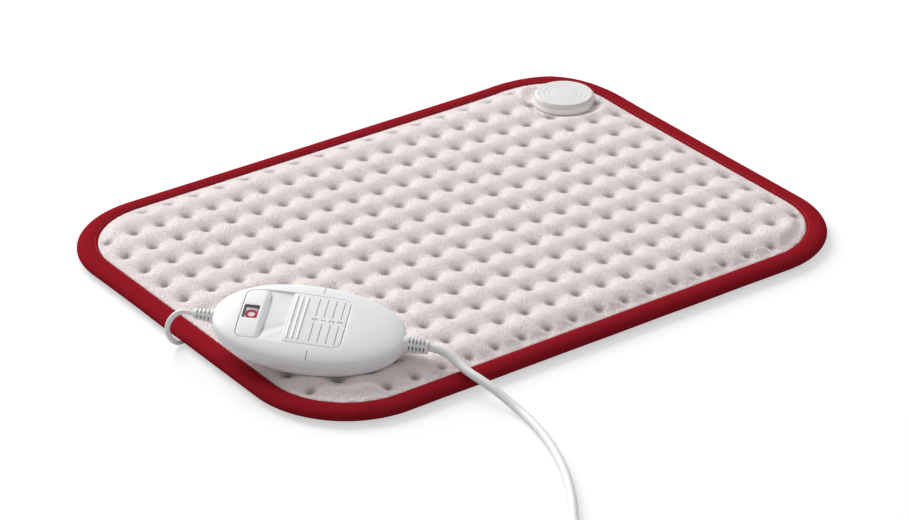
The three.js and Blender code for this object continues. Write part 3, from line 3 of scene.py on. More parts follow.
import bmesh
import bpy
import numpy as np
from bpy.props import FloatProperty, FloatVectorProperty, IntProperty, PointerProperty
from bpy.types import Operator, Panel, PropertyGroup
from mathutils import Euler, Matrix, Vector, noise
from mathutils.geometry import delaunay_2d_cdt


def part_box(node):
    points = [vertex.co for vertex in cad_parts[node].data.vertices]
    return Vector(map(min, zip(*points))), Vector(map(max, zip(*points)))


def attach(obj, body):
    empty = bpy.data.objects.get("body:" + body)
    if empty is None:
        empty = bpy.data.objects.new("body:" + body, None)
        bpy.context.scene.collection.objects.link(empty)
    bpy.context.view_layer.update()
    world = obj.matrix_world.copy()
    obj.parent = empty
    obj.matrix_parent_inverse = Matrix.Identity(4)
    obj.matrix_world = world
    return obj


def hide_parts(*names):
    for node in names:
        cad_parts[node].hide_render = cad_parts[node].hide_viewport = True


bl_info = {
    "name": "Heating pad dressing",
    "version": (1, 0, 0),
    "blender": (4, 5, 0),
    "location": "View3D > Sidebar > Heating pad",
    "description": "Dresses the CAD frame of a heating pad: plush, tape, controller and leads",
    "category": "Object",
}

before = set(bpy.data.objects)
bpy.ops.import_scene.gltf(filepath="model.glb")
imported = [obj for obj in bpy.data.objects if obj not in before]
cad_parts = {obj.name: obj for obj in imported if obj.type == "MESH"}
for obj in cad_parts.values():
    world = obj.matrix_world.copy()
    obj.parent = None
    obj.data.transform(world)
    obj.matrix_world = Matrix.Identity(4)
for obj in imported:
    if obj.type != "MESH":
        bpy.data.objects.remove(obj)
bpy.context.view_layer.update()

# Lengths below are in millimetres, as in the CAD source. Meshes are made in metres.
MM = 0.001
GAP = 0.3  # between two pieces that touch
POLE = 0.1  # radius at which a turned profile closes
SHARP = 38  # degrees between two faces past which their edge is sharp
CLOTH_SHARP = 60  # the same on plush, felt and tape

# Points of the two free leads, past their straight starts
PAD_LEAD_FALL = [
    (-230.3, -23.3, 31.4),
    (-232.6, -21.4, 27.9),
    (-233.3, -19, 23.3),
    (-232.4, -16.4, 18),
    (-230.3, -14, 12.9),
    (-227.6, -12.2, 8.2),
    (-224.6, -11.1, 4.6),
    (-221.2, -10.4, 2.5),
    (-217, -9.7, 2.1),
    (-212, -8.6, 2.1),
]
MAINS_LEAD_RUN = [
    (-112.8, -139.2, 20.2),
    (-110.5, -143.3, 19.1),
    (-109.1, -147.6, 17.5),
    (-107.9, -153.2, 15.2),
    (-107.3, -159.2, 13.7),
    (-106.4, -165.6, 12.6),
    (-104.9, -172.4, 11.4),
    (-103.2, -180.2, 9.6),
    (-101.5, -188.2, 7.3),
    (-100.3, -196.6, 5.1),
    (-99.9, -205.4, 3.6),
    (-100.9, -215.5, 3.1),
    (-104.2, -232, 3.1),
    (-110.6, -253, 3.1),
    (-120.4, -276, 3.1),
    (-134, -300, 3.2),
    (-150.6, -324, 3.4),
    (-168.4, -348.5, 3.8),
]

# Pad
PAD_LOW, PAD_HIGH = (np.array(corner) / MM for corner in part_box("edge_binding"))
PAD_LENGTH = PAD_HIGH[0] - PAD_LOW[0]
PAD_WIDTH = PAD_HIGH[1] - PAD_LOW[1]
PAD_CORNER = 68
CORNER_LIFT = 3.2  # of the edge beside the coupling, which holds it up
CORNER_LIFT_PLACE = (196, 143)
CORNER_LIFT_REACH = 36
PLUSH_BASE = 7
PLUSH_RIM = 7.8  # where it goes under the tape
PLUSH_EDGE = 8.5  # of the strip next to the tape
PLUSH_EDGE_START = 2  # from the tape to where the plush starts to rise
PLUSH_EDGE_RUN = 15  # from the tape to where it has its full height
PLUSH_DIP = 0.7  # of the strip towards the first tufts
PLUSH_LEAST = 7.3
PLUSH_WAVE = 0.35  # unevenness
PLUSH_WAVE_SCALE = 0.045
PLUSH_STEPS = (14, 16)  # of the mesh, from tuft to tuft
PLUSH_RIM_STEP = 2.2
PLUSH_RIM_CLEAR, PLUSH_HOLE_CLEAR = 0.9, 1  # from the mesh's edges to its grid points
EDGE_MARGIN, HOLE_MARGIN = 0.01, 0.2  # by which a triangle's middle may lie past an edge
PRESSED_RISE = 4  # of the plush round the coupling, which presses it down
PRESSED_RUN = 11
TUFT_MARGIN = 5.5  # from the tape to the nearest sewn point
TUFT_SHADE = 3  # reach of the painted shade in a tuft
TUFT_SHADE_COLOUR = 0.36  # colour of the painted shade in a tuft, as a share of the plush's colour
PILE_WIDTH = 0.22
PILE_LEAN = 0.8  # radians at most
PILE_SEED = 7
UNDERSIDE_TOP = 4.9
UNDERSIDE_STEP = 2.6
UNDERSIDE_RIM_STEP = 3
UNDERSIDE_RIM_CLEAR = 1.2
SEWN_DENT, SEWN_DENT_REACH, SEWN_DENT_POWER = 0.9, 4, 1.4
EDGE_DENT, EDGE_DENT_REACH = 1.1, 6
LEAD_DENT, LEAD_DENT_REACH = 4.2, 3.4
PLUG_DENT = 4.5
CLAMP_DENT = 2.5
DENT_CLEAR, DENT_RUN = 0.4, 2.6  # from a piece to where its dent starts to fade, and ends
HUB_DENT_RUN = 2

# Cloth that gives the plush its swell
CLOTH_STEPS = 6  # from tuft to tuft
CLOTH_FRAMES = 20
CLOTH_MASS = 0.02
CLOTH_STIFFNESS = 1
CLOTH_SHEAR = 0.5
CLOTH_PRESSURE = 900  # gives 5 mm of swell between tufts 20 mm apart
CLOTH_CAP = 6
CLOTH_FULL = 98  # percentile of the rise that counts as the full swell
CLOTH_HELD = 1  # strip along the edge that is held
CLOTH_SEWN = 0.1  # distance from a sewn point that is held

# Binding
TAPE_WIDTH = 14
TAPE_LOW = 0.3
TAPE_HIGH = 9.5
TAPE_ROUND = 9  # how far the round edge reaches in
TAPE_ROUND_STEPS = 23
TAPE_ROUND_START = 0.04  # of the half turn, past the flat of the top
TAPE_DROOP = 1.6  # of the top towards the plush
TAPE_STEP = 2
TAPE_LIP = [(13.9, 7.5), (13.8, 7.8)]  # inset and height where the tape lies on the plush
TAPE_LIP_EDGE, TAPE_LIP_STEPS = 13.4, 8
TAPE_FOLD = [  # inset and height underneath and round the slot that the layers go into
    (9, 0.3),
    (13.4, 0.35),
    (13.9, 0.7),
    (13.8, 1.4),
    (4.6, 1.5),
    (4.6, 7.4),
    (13.7, 7.3),
]
TAPE_TOP = 2.5  # depth of the part that puckers
TAPE_PUCKER_WIDTH = 13.5
TAPE_WANDER, TAPE_WANDER_SCALE = 0.5, 0.02
TAPE_WANDER_UP, TAPE_WANDER_IN = 0.5, 0.8
TAPE_PUCKER, TAPE_PUCKER_CORNER, TAPE_PUCKER_SCALE = 0.12, 0.3, 0.16
CREASES = [  # place in plan, depth and width of the pinches at the near corner
    (-176, -161, 1.2, 3.2),
    (-183, -158.5, 0.8, 2.6),
]
CREASE_LEAST = 5  # only the tape above this height is pinched
SEAM_INSET, SEAM_HEIGHT, SEAM_STEP = 12.1, 8.8, 3
STITCH_SPACING = 1.35  # in stitches
THREAD = 0.55

# Coupling
COUPLING_PLACE = np.array([177, 109.5])
COUPLING_YAW = math.radians(17)
COUPLING_RADIUS = 22.5
COUPLING_SEAT = 10.2
COUPLING_HEIGHT = 4
COUPLING_WALL = [  # out from the radius, up from the seat
    (-1, 0),
    (-0.3, 0.2),
    (0, 0.7),
    (-0.1, 1.6),
    (-0.4, 2.8),
    (-0.8, COUPLING_HEIGHT),
]
COUPLING_FLAT = 20.6  # from the middle to the flat on the wall
COUPLING_FLAT_YAW = math.radians(-70)
COUPLING_SIDES = 120
HUB_RADIUS = 14
HUB_LOW = 1
HUB_EDGE = 0.4
HUB_SIDES = 48
CAVITY_LOW, CAVITY_HIGH = (-40, -6, 1), (-4, 6, 5.8)  # for the plug, in the hub
CAVITY_CORNER = 0.5
LID_RADIUS = 21.7
LID_SEAM = 0.06
LID_HEIGHT = 2.9
LID_FOOT = (0.25, 0.9)  # in from the radius, up from the seam
LID_EDGE = [  # in from the radius, down from the top
    (0.6, 1.1),
    (1.2, 1),
    (1.25, 0.5),
    (1.5, 0.15),
    (2.1, 0),
]
LID_GROOVES = (16.8, 13.6, 10.4)
GROOVE = [(0.5, 0), (0.15, 0.1), (-0.15, 0.1), (-0.5, 0)]  # out from its middle, down
LID_DISH, LID_DISH_DEPTH = 6, 0.05
LID_SHARP = 45
PLUG_BOOT_END = 54.3
PLUG_HALF_WIDTH = 7.5
CLAMP_RADIUS = 19.5

# Controller, in its own frame
CONTROL_PLACE = Vector((-169.9, -82.3, 28.3))
CONTROL_TURN = Euler((math.radians(11.5), math.radians(4.5), math.radians(-44.8)))
HALF_LENGTH = 60.6
HALF_WIDTH = 36.7
CROWN_RISE = 8
BELLY_DROP = 13.5
BELLY_HIGH, BELLY_LOW, BELLY_STEP = 16, 4, 0.2  # heights tried for the belly over the plush
PLAN_POWER = 2.1
PROFILE_POWER = 3
PARTING = 0.04
EDGE_ROUND = [(0, 1), (0.08, 0.62), (0.29, 0.29), (0.62, 0.08), (1, 0)]  # out, down
RECESS_X = -10.2
RECESS_LENGTH = 66.2
RECESS_WIDTH = 46
RECESS_CORNER = 5.5
RECESS_EDGE = 0.35
RECESS_FLOOR = 4.4
RECESS_CEILING = 2.8
VALLEY_FLOOR = 5.9
CROWN_ROWS = 26
CROWN_HALVINGS = 40  # of the search for a row's place
CROWN_INSIDE = [  # share of the rim and height, from the parting in under the recess
    (0.985, PARTING),
    (0.965, PARTING),
    (0.955, 1.6),
    (0.93, RECESS_CEILING),
]
BELLY_SIDES = 144
BELLY_ROWS, BELLY_INNER_ROWS = 30, 12
BELLY_WALL = 2
BELLY_CLOSE = 0.999  # of the quarter turn down to the pole
POCKET_END = -29.3
POCKET_CORNER = 0.5
SLOT_CORNER = 0.8
SLIDE_GAP = 0.35
SLIDER_EDGE = -13.95
SLIDER_END = 22.55
SLIDER_CORNER = 1
SLIDER_ROUND = 0.3
SLIDER_SLANT = (1, 14)  # from its edge to where the slanted face's shift starts to fade, and ends
SLIDER_ROWS = (0.95, 0.85, 0.7, 0.55, 0.4, 0.25, 0.1, 0.02)  # shares of the way out from its middle
SLOPE_RUN = 2.4
STEM_X = 5.5
STEM_HALF = (0.9, 5)
STEM_CORNER = 0.4
STEM_DROP = 3.8
TRAVEL = 15.75
FRAME_EDGE = -30.15
FRAME_CORNER = 1.6
FRAME_ROUND = 0.8
FRAME_LIP = 0.35
FRAME_SLANT = 2.4
FRAME_SHELF = 1.3  # least depth of the shelf, in rounds
WINDOW_X = -37
WINDOW_HALF = (4.8, 6.1)
WINDOW_CORNER = 1.5
WINDOW_SEAT = 5.7
WINDOW_LEDGE = 1
WINDOW_MARGIN = 0.05
LIT_PLACE = (0.5, -1)  # from the window's middle
LIT_OUTER, LIT_INNER = (3.9, 4.1), (2.2, 2.2)
LIT_LOW, LIT_HIGH = 5.5, 5.84
LIT_POWER, LIT_SIDES = 0.9, 64
PRINT_LIFT, PRINT_SINK = 0.025, 0.06
SCALE_FIRST = 3
SCALE_PITCH = 5.25
SCALE_COUNT = 4
SCALE_LINE = (3.1, 20.2)
SCALE_FIGURE = 3.1
TICK_X = 3.8
TICKS = [(25.2, 33.4), (-34.4, -27.6)]
GRIP_FIRST = -11.25
GRIP_PITCH = 3.45
GRIP_HALF, GRIP_STEPS = 20.3, 49
GRIP_END, GRIP_END_POWER = 20.4, 20
GRIP_RISE, GRIP_RADIUS, GRIP_TURN = 0.7, 0.75, 11
GRIP_SINK, GRIP_ROOT = 0.04, 0.6
SCREWS = (47, 15)
SCREW_BORE = [(2.9, -40), (2.9, -6.6), (POLE, -6.6)]

# Strain reliefs
GLAND_Z = -1.5
GLAND_FOOT = 60.2
GLAND_ROOT = 6  # part inside the housing
GLAND_SLOT = 1.1
GLAND_LIP = 2.1
GLAND_LIP_SINK = 0.6
GLAND_CORE = 0.72  # of the nose
GLAND_CORE_END = 0.4
GLAND_SOFT = 0.18  # rounding of a ring
GLAND_LIP_HOLE, GLAND_RING_HOLE = 0.2, 0.4
GLAND_SIDES = 48
GLAND_BRIDGES = (50, -40)  # degrees round the lead
GLAND_BRIDGE_SINK, GLAND_BRIDGE_LAP, GLAND_BRIDGE_CORNER = 0.12, 0.05, 0.2
PAD_GLAND = {"reach": 12.8, "foot": 8.8, "nose": 6.2, "slots": 4}
MAINS_GLAND = {"reach": 14.4, "foot": 10.8, "nose": 8.6, "slots": 5}

# Leads, coil and plug
LEAD_UNDER_Z = 2.1
LEAD_UNDER_STEPS = 60
LEAD_BEVEL = 5  # steps in a quarter of a lead's round
PAD_LEAD_STRAIGHT = 6.8
MAINS_LEAD_STRAIGHT = 1.4
COIL_CENTRE = np.array([-155, -402])
COIL_START = math.radians(141.7)
COIL_INNER = 24.5
COIL_TURNS = 3  # in each layer
COIL_EXTRA = 0.25  # turn past the last full one
COIL_PITCH = 6.1
COIL_BASE = 4.15
COIL_STEPS = 400
TIE_HALF = 4
TIE_EDGE = 0.2
TIE_THICKNESS = 0.8
TIE_CORNER = 2.5
FLAP_HALF = 3.4
FLAP_ENDS = (3, 5)  # from the ends of the tie's upper side
FLAP_CORNERS = [0.3, 2.6, 2.6, 0.3]
FLAP_SINK, FLAP_RISE = 0.2, 0.55
MAINS_PLUG_PLACE = Vector((-134, -459, 7.2))
MAINS_PLUG_YAW = math.radians(-4)
PLUG_STATIONS = [  # along the plug, half width, half height
    (0, 3.3, 3.3),
    (0.5, 3.6, 3.6),
    (10, 4, 4),
    (19, 4.3, 4.3),
    (22, 5.6, 4.9),
    (26, 8.8, 5.6),
    (31, 11, 6.3),
    (37, 12.3, 6.7),
    (48, 12.7, 6.85),
    (57.5, 12.8, 6.9),
    (59.2, 12.5, 6.6),
    (60, 11.6, 5.8),
]
PLUG_POWER, PLUG_SIDES = 3, 64
PLUG_SHARP = 50
RIDGE_X, RIDGE_PITCH, RIDGE_COUNT = 38, 3, 5
RIDGE_HALF, RIDGE_STEPS = 8.4, 25
RIDGE_END, RIDGE_END_POWER = 8.8, 4
RIDGE_RISE, RIDGE_RADIUS, RIDGE_TURN = 0.5, 0.75, 9
RIDGE_FACE, RIDGE_ROOT = 6.62, 6
PIN_SIDE = 9.3
PIN_SLEEVE = [(1.85, 60.3), (1.85, 70), (1.5, 70)]
PIN_TIP = [(1.4, 60.3), (1.4, 70), (2, 70.1), (2, 78), (1.7, 78.9), (1, 79.3)]
PIN_SIDES = 32

# Stage, in metres, with the sensor in millimetres
SENSOR_WIDTH = 36
CAMERA_CLIP = (0.05, 50)
FLOOR_REACH = 12
FLOOR_DROP = 0.0002

CONTROL = Matrix.Translation(CONTROL_PLACE * MM) @ CONTROL_TURN.to_matrix().to_4x4()
COUPLING = Matrix.Translation((*COUPLING_PLACE * MM, 0)) @ Matrix.Rotation(COUPLING_YAW, 4, "Z")
MAINS_PLUG = Matrix.Translation(MAINS_PLUG_PLACE * MM) @ Matrix.Rotation(MAINS_PLUG_YAW, 4, "Z")

# Finishes
SHEEN_ROUGHNESS = 0.6
COAT_ROUGHNESS = 0.25

# Kinds of setting
ANGLE = {"subtype": "ANGLE", "unit": "ROTATION"}
LENGTH = {"subtype": "DISTANCE", "unit": "LENGTH"}
PLACE = {"subtype": "TRANSLATION", "unit": "LENGTH", "size": 3}
COLOUR = {"subtype": "COLOR", "size": 3, "min": 0, "max": 1}


# Settings, shown in the sidebar
class StageSettings(PropertyGroup):
    """Camera, floor and light."""

    azimuth: FloatProperty(
        name="Azimuth",
        description="Turn of the camera round the pad",
        default=math.radians(-36.13),
        **ANGLE,
    )
    elevation: FloatProperty(
        name="Elevation",
        description="Height of the camera above the horizon",
        default=math.radians(28.282),
        **ANGLE,
    )
    distance: FloatProperty(
        name="Distance",
        description="From the camera to the point it looks at",
        default=2.266995,
        **LENGTH,
    )
    aim: FloatVectorProperty(
        name="Aim",
        description="Point that the camera looks at",
        default=(-0.01437, -0.02068, 0.0),
        **PLACE,
    )
    lens: FloatProperty(
        name="Lens",
        description="Focal length on a sensor 36 mm wide",
        default=136.81,
        unit="CAMERA",
    )
    floor: FloatVectorProperty(
        name="Floor",
        description="Colour of the floor",
        default=(0.5, 0.5, 0.5),
        **COLOUR,
    )
    lift: FloatProperty(
        name="Lift",
        description="How much lighter the camera sees the floor than the object does",
        default=0.535,
        min=0,
        max=1,
    )
    sky: FloatProperty(
        name="Sky",
        description="Strength of the even light from all round",
        default=0.41,
        min=0,
    )
    key: FloatProperty(
        name="Key",
        description="Power of the soft lamp above and behind the pad",
        default=264,
        unit="POWER",
        min=0,
    )
    key_place: FloatVectorProperty(
        name="Key place",
        description="Where the soft lamp hangs",
        default=(-0.15, 3.9, 2.925),
        **PLACE,
    )
    key_size: FloatProperty(
        name="Key size",
        description="Diameter of the soft lamp",
        default=4.0,
        **LENGTH,
    )


class PadSettings(PropertyGroup):
    """Plush, tape and underside."""

    pitch_x: FloatProperty(
        name="Tufts along",
        description="Distance between tufts along the pad",
        default=0.0205,
        **LENGTH,
    )
    pitch_y: FloatProperty(
        name="Tufts across",
        description="Distance between rows of tufts",
        default=0.02375,
        **LENGTH,
    )
    crest: FloatProperty(
        name="Crest",
        description="Height of the plush between the tufts",
        default=0.0137,
        **LENGTH,
    )
    swell: FloatProperty(
        name="Swell",
        description="How far the plush swells up between its sewn points",
        default=0.0063,
        **LENGTH,
    )
    tuft_depth: FloatProperty(
        name="Tuft depth",
        description="How far a sewn point is drawn in past the swollen plush",
        default=0.0008,
        **LENGTH,
    )
    tuft_reach: FloatProperty(
        name="Tuft reach",
        description="How far the pull of a sewn point spreads",
        default=0.0042,
        **LENGTH,
    )
    pile: FloatProperty(
        name="Pile",
        description="Length of the plush fibres",
        default=0.0007,
        **LENGTH,
    )
    pile_count: IntProperty(
        name="Pile density",
        description="Tufts of fibre on a square metre",
        default=1550000,
        min=0,
    )
    plush: FloatVectorProperty(
        name="Plush",
        description="Colour of the plush",
        default=(0.995, 0.864, 0.853),
        **COLOUR,
    )
    felt: FloatVectorProperty(
        name="Underside",
        description="Colour of the brushed cotton underneath",
        default=(0.84, 0.78, 0.755),
        **COLOUR,
    )
    tape: FloatVectorProperty(
        name="Tape",
        description="Colour of the folded tape round the edge",
        default=(0.29, 0.012, 0.02),
        **COLOUR,
    )
    stitch: FloatProperty(
        name="Stitch",
        description="Length of a stitch along the tape",
        default=0.0028,
        **LENGTH,
    )


class ControllerSettings(PropertyGroup):
    """Housing, slide switch and display."""

    housing: FloatVectorProperty(
        name="Housing",
        description="Colour of the moulded housing",
        default=(0.925, 0.935, 0.945),
        **COLOUR,
    )
    marks: FloatVectorProperty(
        name="Marks",
        description="Colour of the printed scale",
        default=(0.06, 0.065, 0.075),
        **COLOUR,
    )
    figure: FloatVectorProperty(
        name="Figure",
        description="Colour of the lit figure",
        default=(0.56, 0.006, 0.035),
        **COLOUR,
    )
    ribs: IntProperty(
        name="Ribs",
        description="Grip ribs on the slide switch",
        default=3,
        min=1,
        max=5,
    )
    line: FloatProperty(
        name="Scale line",
        description="Width of a printed scale line",
        default=0.00038,
        **LENGTH,
    )


class LeadSettings(PropertyGroup):
    """Leads, reliefs and plug."""

    pad_lead: FloatProperty(
        name="Pad lead",
        description="Diameter of the lead from the controller to the pad",
        default=0.0034,
        **LENGTH,
    )
    mains_lead: FloatProperty(
        name="Mains lead",
        description="Diameter of the mains lead",
        default=0.0055,
        **LENGTH,
    )
    jacket: FloatVectorProperty(
        name="Jacket",
        description="Colour of the leads",
        default=(0.93, 0.935, 0.93),
        **COLOUR,
    )


class HeatingPadSettings(PropertyGroup):
    """All the settings of the dressing."""

    stage: PointerProperty(type=StageSettings, name="Stage", description="Camera, floor and light")
    pad: PointerProperty(type=PadSettings, name="Pad", description="Plush, tape and underside")
    controller: PointerProperty(
        type=ControllerSettings, name="Controller", description="Housing, slide switch and display"
    )
    leads: PointerProperty(type=LeadSettings, name="Leads", description="Leads, reliefs and plug")


def settings():
    """The settings of the dressing in this scene."""
    return bpy.context.scene.heating_pad_settings


# Nodes
def fill_inputs(tree, node, inputs):
    """Gives each of a node's inputs a value, or links it to a socket."""
    for key, value in inputs.items():
        if isinstance(value, bpy.types.NodeSocket):
            tree.links.new(value, node.inputs[key])
        else:
            node.inputs[key].default_value = value


def add_node(tree, kind, inputs=None, **attributes):
    """A new node with its attributes set and its inputs filled."""
    node = tree.nodes.new(kind)
    for name, value in attributes.items():
        setattr(node, name, value)
    fill_inputs(tree, node, inputs or {})
    return node


# Materials
def surface(name, colour, roughness, *, grain=900, depth=0.0, wander=0.05, stretch=(1, 1, 1),
            metallic=0.0, sheen=0.0, coat=0.0, specular=0.5, painted_tuft_shade=None):
    """A finish whose colour wanders a little and whose grain is bumped, both from noise, and whose
    colour may be drawn towards painted shade where the mesh stores its weight.
    """
    label = f"{name}_finish"  # the frame brings materials with the plain names
    made = bpy.data.materials.get(label)
    if made:
        return made
    made = bpy.data.materials.new(label)
    made.use_nodes = True
    made.diffuse_color = (*colour, 1)
    tree = made.node_tree
    place = add_node(tree, "ShaderNodeTexCoord")
    mapping = add_node(tree, "ShaderNodeMapping", {
        "Vector": place.outputs["Object"],
        "Scale": stretch,
    })
    speckle = add_node(tree, "ShaderNodeTexNoise", {
        "Vector": mapping.outputs["Vector"],
        "Scale": grain,
        "Detail": 3,
    })
    tint = add_node(tree, "ShaderNodeMix", {
        "Factor": speckle.outputs["Fac"],
        "A": (*[c * (1 - wander) for c in colour], 1),
        "B": (*[min(c * (1 + wander), 1) for c in colour], 1),
    }, data_type="RGBA")
    base = tint.outputs["Result"]
    # painted shade: the colour is drawn towards a darker one in the tufts, by the stored weight
    if painted_tuft_shade:
        shade_weight = add_node(tree, "ShaderNodeAttribute", attribute_name="painted_tuft_shade")
        shade = add_node(tree, "ShaderNodeMix", {
            "Factor": shade_weight.outputs["Fac"],
            "A": base,
            "B": (*painted_tuft_shade, 1),
        }, data_type="RGBA")
        base = shade.outputs["Result"]
    inputs = {
        "Base Color": base,
        "Roughness": roughness,
        "Metallic": metallic,
        "Specular IOR Level": specular,
    }
    if sheen:
        inputs |= {"Sheen Weight": sheen, "Sheen Roughness": SHEEN_ROUGHNESS}
    if coat:
        inputs |= {"Coat Weight": coat, "Coat Roughness": COAT_ROUGHNESS}
    if depth:
        bump = add_node(tree, "ShaderNodeBump", {
            "Distance": depth,
            "Height": speckle.outputs["Fac"],
        })
        inputs["Normal"] = bump.outputs["Normal"]
    fill_inputs(tree, tree.nodes["Principled BSDF"], inputs)
    return made


def floor_finish():
    """Pale floor that the camera, gloss and glass see as white, and that keeps shadows."""
    stage = settings().stage
    made = surface("floor", stage.floor, 0.9, grain=3, wander=0.004)
    tree = made.node_tree
    ray = add_node(tree, "ShaderNodeLightPath").outputs
    seen = ray["Is Camera Ray"]
    for other in ("Is Glossy Ray", "Is Transmission Ray"):
        either = add_node(tree, "ShaderNodeMath", {0: seen, 1: ray[other]}, operation="MAXIMUM")
        seen = either.outputs["Value"]
    lift = add_node(tree, "ShaderNodeMath", {0: seen, 1: stage.lift}, operation="MULTIPLY")
    fill_inputs(tree, tree.nodes["Principled BSDF"], {
        "Emission Color": (1, 1, 1, 1),
        "Emission Strength": lift.outputs["Value"],
    })
    return made


def plush_finish():
    colour = settings().pad.plush
    # painted shade for the pits of the tufts
    dark = [c * TUFT_SHADE_COLOUR for c in colour]
    return surface("plush", colour, 0.95, grain=800, depth=0.001, wander=0.1,
                   stretch=(1.5, 0.6, 1), sheen=0.15, painted_tuft_shade=dark)


def felt_finish():
    return surface("felt", settings().pad.felt, 0.95, grain=700, depth=0.0003, wander=0.08,
                   sheen=0.2)


def tape_finish():
    return surface("binding_tape", settings().pad.tape, 0.85, grain=1500, depth=0.00025,
                   wander=0.16, stretch=(1, 1, 2.5), specular=0.0)


def thread_finish():
    return surface("thread", [c * 0.95 for c in settings().pad.tape], 0.6, grain=3000, wander=0.1)


def housing_finish():
    return surface("white_plastic", settings().controller.housing, 0.46, grain=2600,
                   depth=0.000012, wander=0.012, coat=0.06)


def disc_finish():
    return surface("coupling_base", (0.97, 0.965, 0.96), 0.5, grain=1200, wander=0.01)


def cream_finish():
    return surface("cream_plastic", (0.79, 0.775, 0.765), 0.45, grain=2400, depth=0.000015,
                   wander=0.015)


def jacket_finish():
    return surface("lead_jacket", settings().leads.jacket, 0.5, grain=900, depth=0.00002,
                   wander=0.02)


def dark_finish():
    return surface("dark_plastic", (0.03, 0.03, 0.033), 0.55, grain=1800, depth=0.00004,
                   wander=0.2)


def marks_finish():
    return surface("printed_marks", settings().controller.marks, 0.6, grain=3000, wander=0.08)


# painted shade: a mid grey for the shade that falls inside the display's window and in the relief's
# slots
def mask_finish():
    return surface("painted_shade_grey", (0.26, 0.27, 0.28), 0.6, grain=2500, wander=0.05)


def figure_finish():
    return surface("lit_figure", settings().controller.figure, 0.6, grain=2500, wander=0.06,
                   specular=0.1)


def window_finish():
    made = surface("clear_window", (0.93, 0.95, 0.96), 0.08, grain=600, wander=0.01, specular=0.05)
    fill_inputs(made.node_tree, made.node_tree.nodes["Principled BSDF"], {"Alpha": 0.025})
    made.surface_render_method = "BLENDED"
    return made


def display_finish():
    return surface("display_plate", (0.86, 0.83, 0.83), 0.5, grain=1200, wander=0.02)


def brass_finish():
    return surface("brass", (0.72, 0.55, 0.27), 0.28, grain=1500, depth=0.00001, wander=0.08,
                   metallic=1.0)


def steel_finish():
    return surface("steel", (0.62, 0.63, 0.65), 0.3, grain=1500, depth=0.00001, wander=0.06,
                   metallic=1.0, stretch=(1, 6, 1))


def non_woven_finish():
    return surface("non_woven", (0.8, 0.78, 0.74), 0.9, grain=1200, depth=0.0001, wander=0.08)


def wire_finish():
    return surface("heating_wire", (0.5, 0.17, 0.14), 0.5, grain=1500, wander=0.08)


def board_finish():
    return surface("circuit_board", (0.04, 0.2, 0.1), 0.45, grain=1000, wander=0.1)


# Meshes
def skin(rings, around=True, along=False, caps=False):
    """Points and faces of a surface laid over rings that have the same number of points."""
    rings = np.asarray(rings, float)
    rows, count = rings.shape[:2]
    i, j = np.meshgrid(
        np.arange(rows if along else rows - 1),
        np.arange(count if around else count - 1),
        indexing="ij",
    )
    here, ahead = i * count, (i + 1) % rows * count
    after = (j + 1) % count
    faces = np.stack([here + j, here + after, ahead + after, ahead + j], -1).reshape(-1, 4).tolist()
    points = rings.reshape(-1, 3)
    if caps:
        points = np.vstack([points, rings[0].mean(0), rings[-1].mean(0)])
        last = (rows - 1) * count
        for k in range(count):
            after = (k + 1) % count
            faces.append([len(points) - 2, after, k])
            faces.append([len(points) - 1, last + k, last + after])
    return points, faces


def walls(first, count, below):
    """Faces from a closed loop of points down to the same loop further on in the list."""
    faces = []
    for k in range(count):
        a, b = first + k, first + (k + 1) % count
        faces.append([a, b, below + b, below + a])
    return faces


def joined(*bodies):
    """Several lots of points and faces as one."""
    points, faces, start = [], [], 0
    for body_points, body_faces in bodies:
        points.append(np.asarray(body_points, float))
        faces += [[index + start for index in face] for face in body_faces]
        start += len(body_points)
    return np.vstack(points), faces


def smooth(mesh, sharp=SHARP):
    """Shades a mesh smooth, apart from its sharp edges."""
    mesh.shade_smooth()
    mesh.set_sharp_from_angle(angle=math.radians(sharp))
    return mesh


def mesh_of(name, body, place=None, sharp=SHARP):
    """A mesh of points in millimetres and faces, turned outwards, in its place."""
    points, faces = body
    mesh = bpy.data.meshes.new(name)
    mesh.from_pydata((np.asarray(points) * MM).tolist(), [], faces)
    if place is not None:
        mesh.transform(place)
    edit = bmesh.new()
    edit.from_mesh(mesh)
    bmesh.ops.recalc_face_normals(edit, faces=edit.faces)
    edit.to_mesh(mesh)
    edit.free()
    return smooth(mesh, sharp)


def two_tone(mesh, main, other, is_other):
    """Paints a mesh, with another finish on the faces that a test picks out."""
    mesh.materials.append(main)
    mesh.materials.append(other)
    for face in mesh.polygons:
        face.material_index = int(is_other(face))
    return mesh


def linked(name, data):
    """A new object in the scene."""
    made = bpy.data.objects.new(name, data)
    bpy.context.scene.collection.objects.link(made)
    return made


def scratch(data):
    """An object to work on, which never shows."""
    return linked("scratch", data)


def ride(made, body="pad", stands_for=()):
    """Puts a piece on a body, in place of CAD nodes."""
    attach(made, body)
    if stands_for:
        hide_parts(*stands_for)
    return made


def show(name, mesh, material, body="pad", stands_for=()):
    """Links a mesh as a piece that rides on a body and stands for CAD nodes."""
    if material is not None:
        mesh.materials.clear()
        mesh.materials.append(material)
    return ride(linked(name, mesh), body, stands_for)


def evaluated_mesh(made):
    """The mesh of an object with its modifiers applied. The object itself is removed."""
    bpy.context.view_layer.update()
    graph = bpy.context.evaluated_depsgraph_get()
    mesh = bpy.data.meshes.new_from_object(made.evaluated_get(graph))
    bpy.data.objects.remove(made)
    return mesh


def without(mesh, body):
    """A mesh with a closed body cut out of it."""
    kept, cutter = scratch(mesh), scratch(mesh_of("cutter", body))
    trim = kept.modifiers.new("cut", "BOOLEAN")
    trim.operation = "DIFFERENCE"
    trim.solver = "EXACT"
    trim.object = cutter
    made = evaluated_mesh(kept)
    bpy.data.objects.remove(cutter)
    return smooth(made)


def level(plan, z):
    """Points in plan, at a height."""
    return np.column_stack([plan, np.broadcast_to(z, len(plan))])


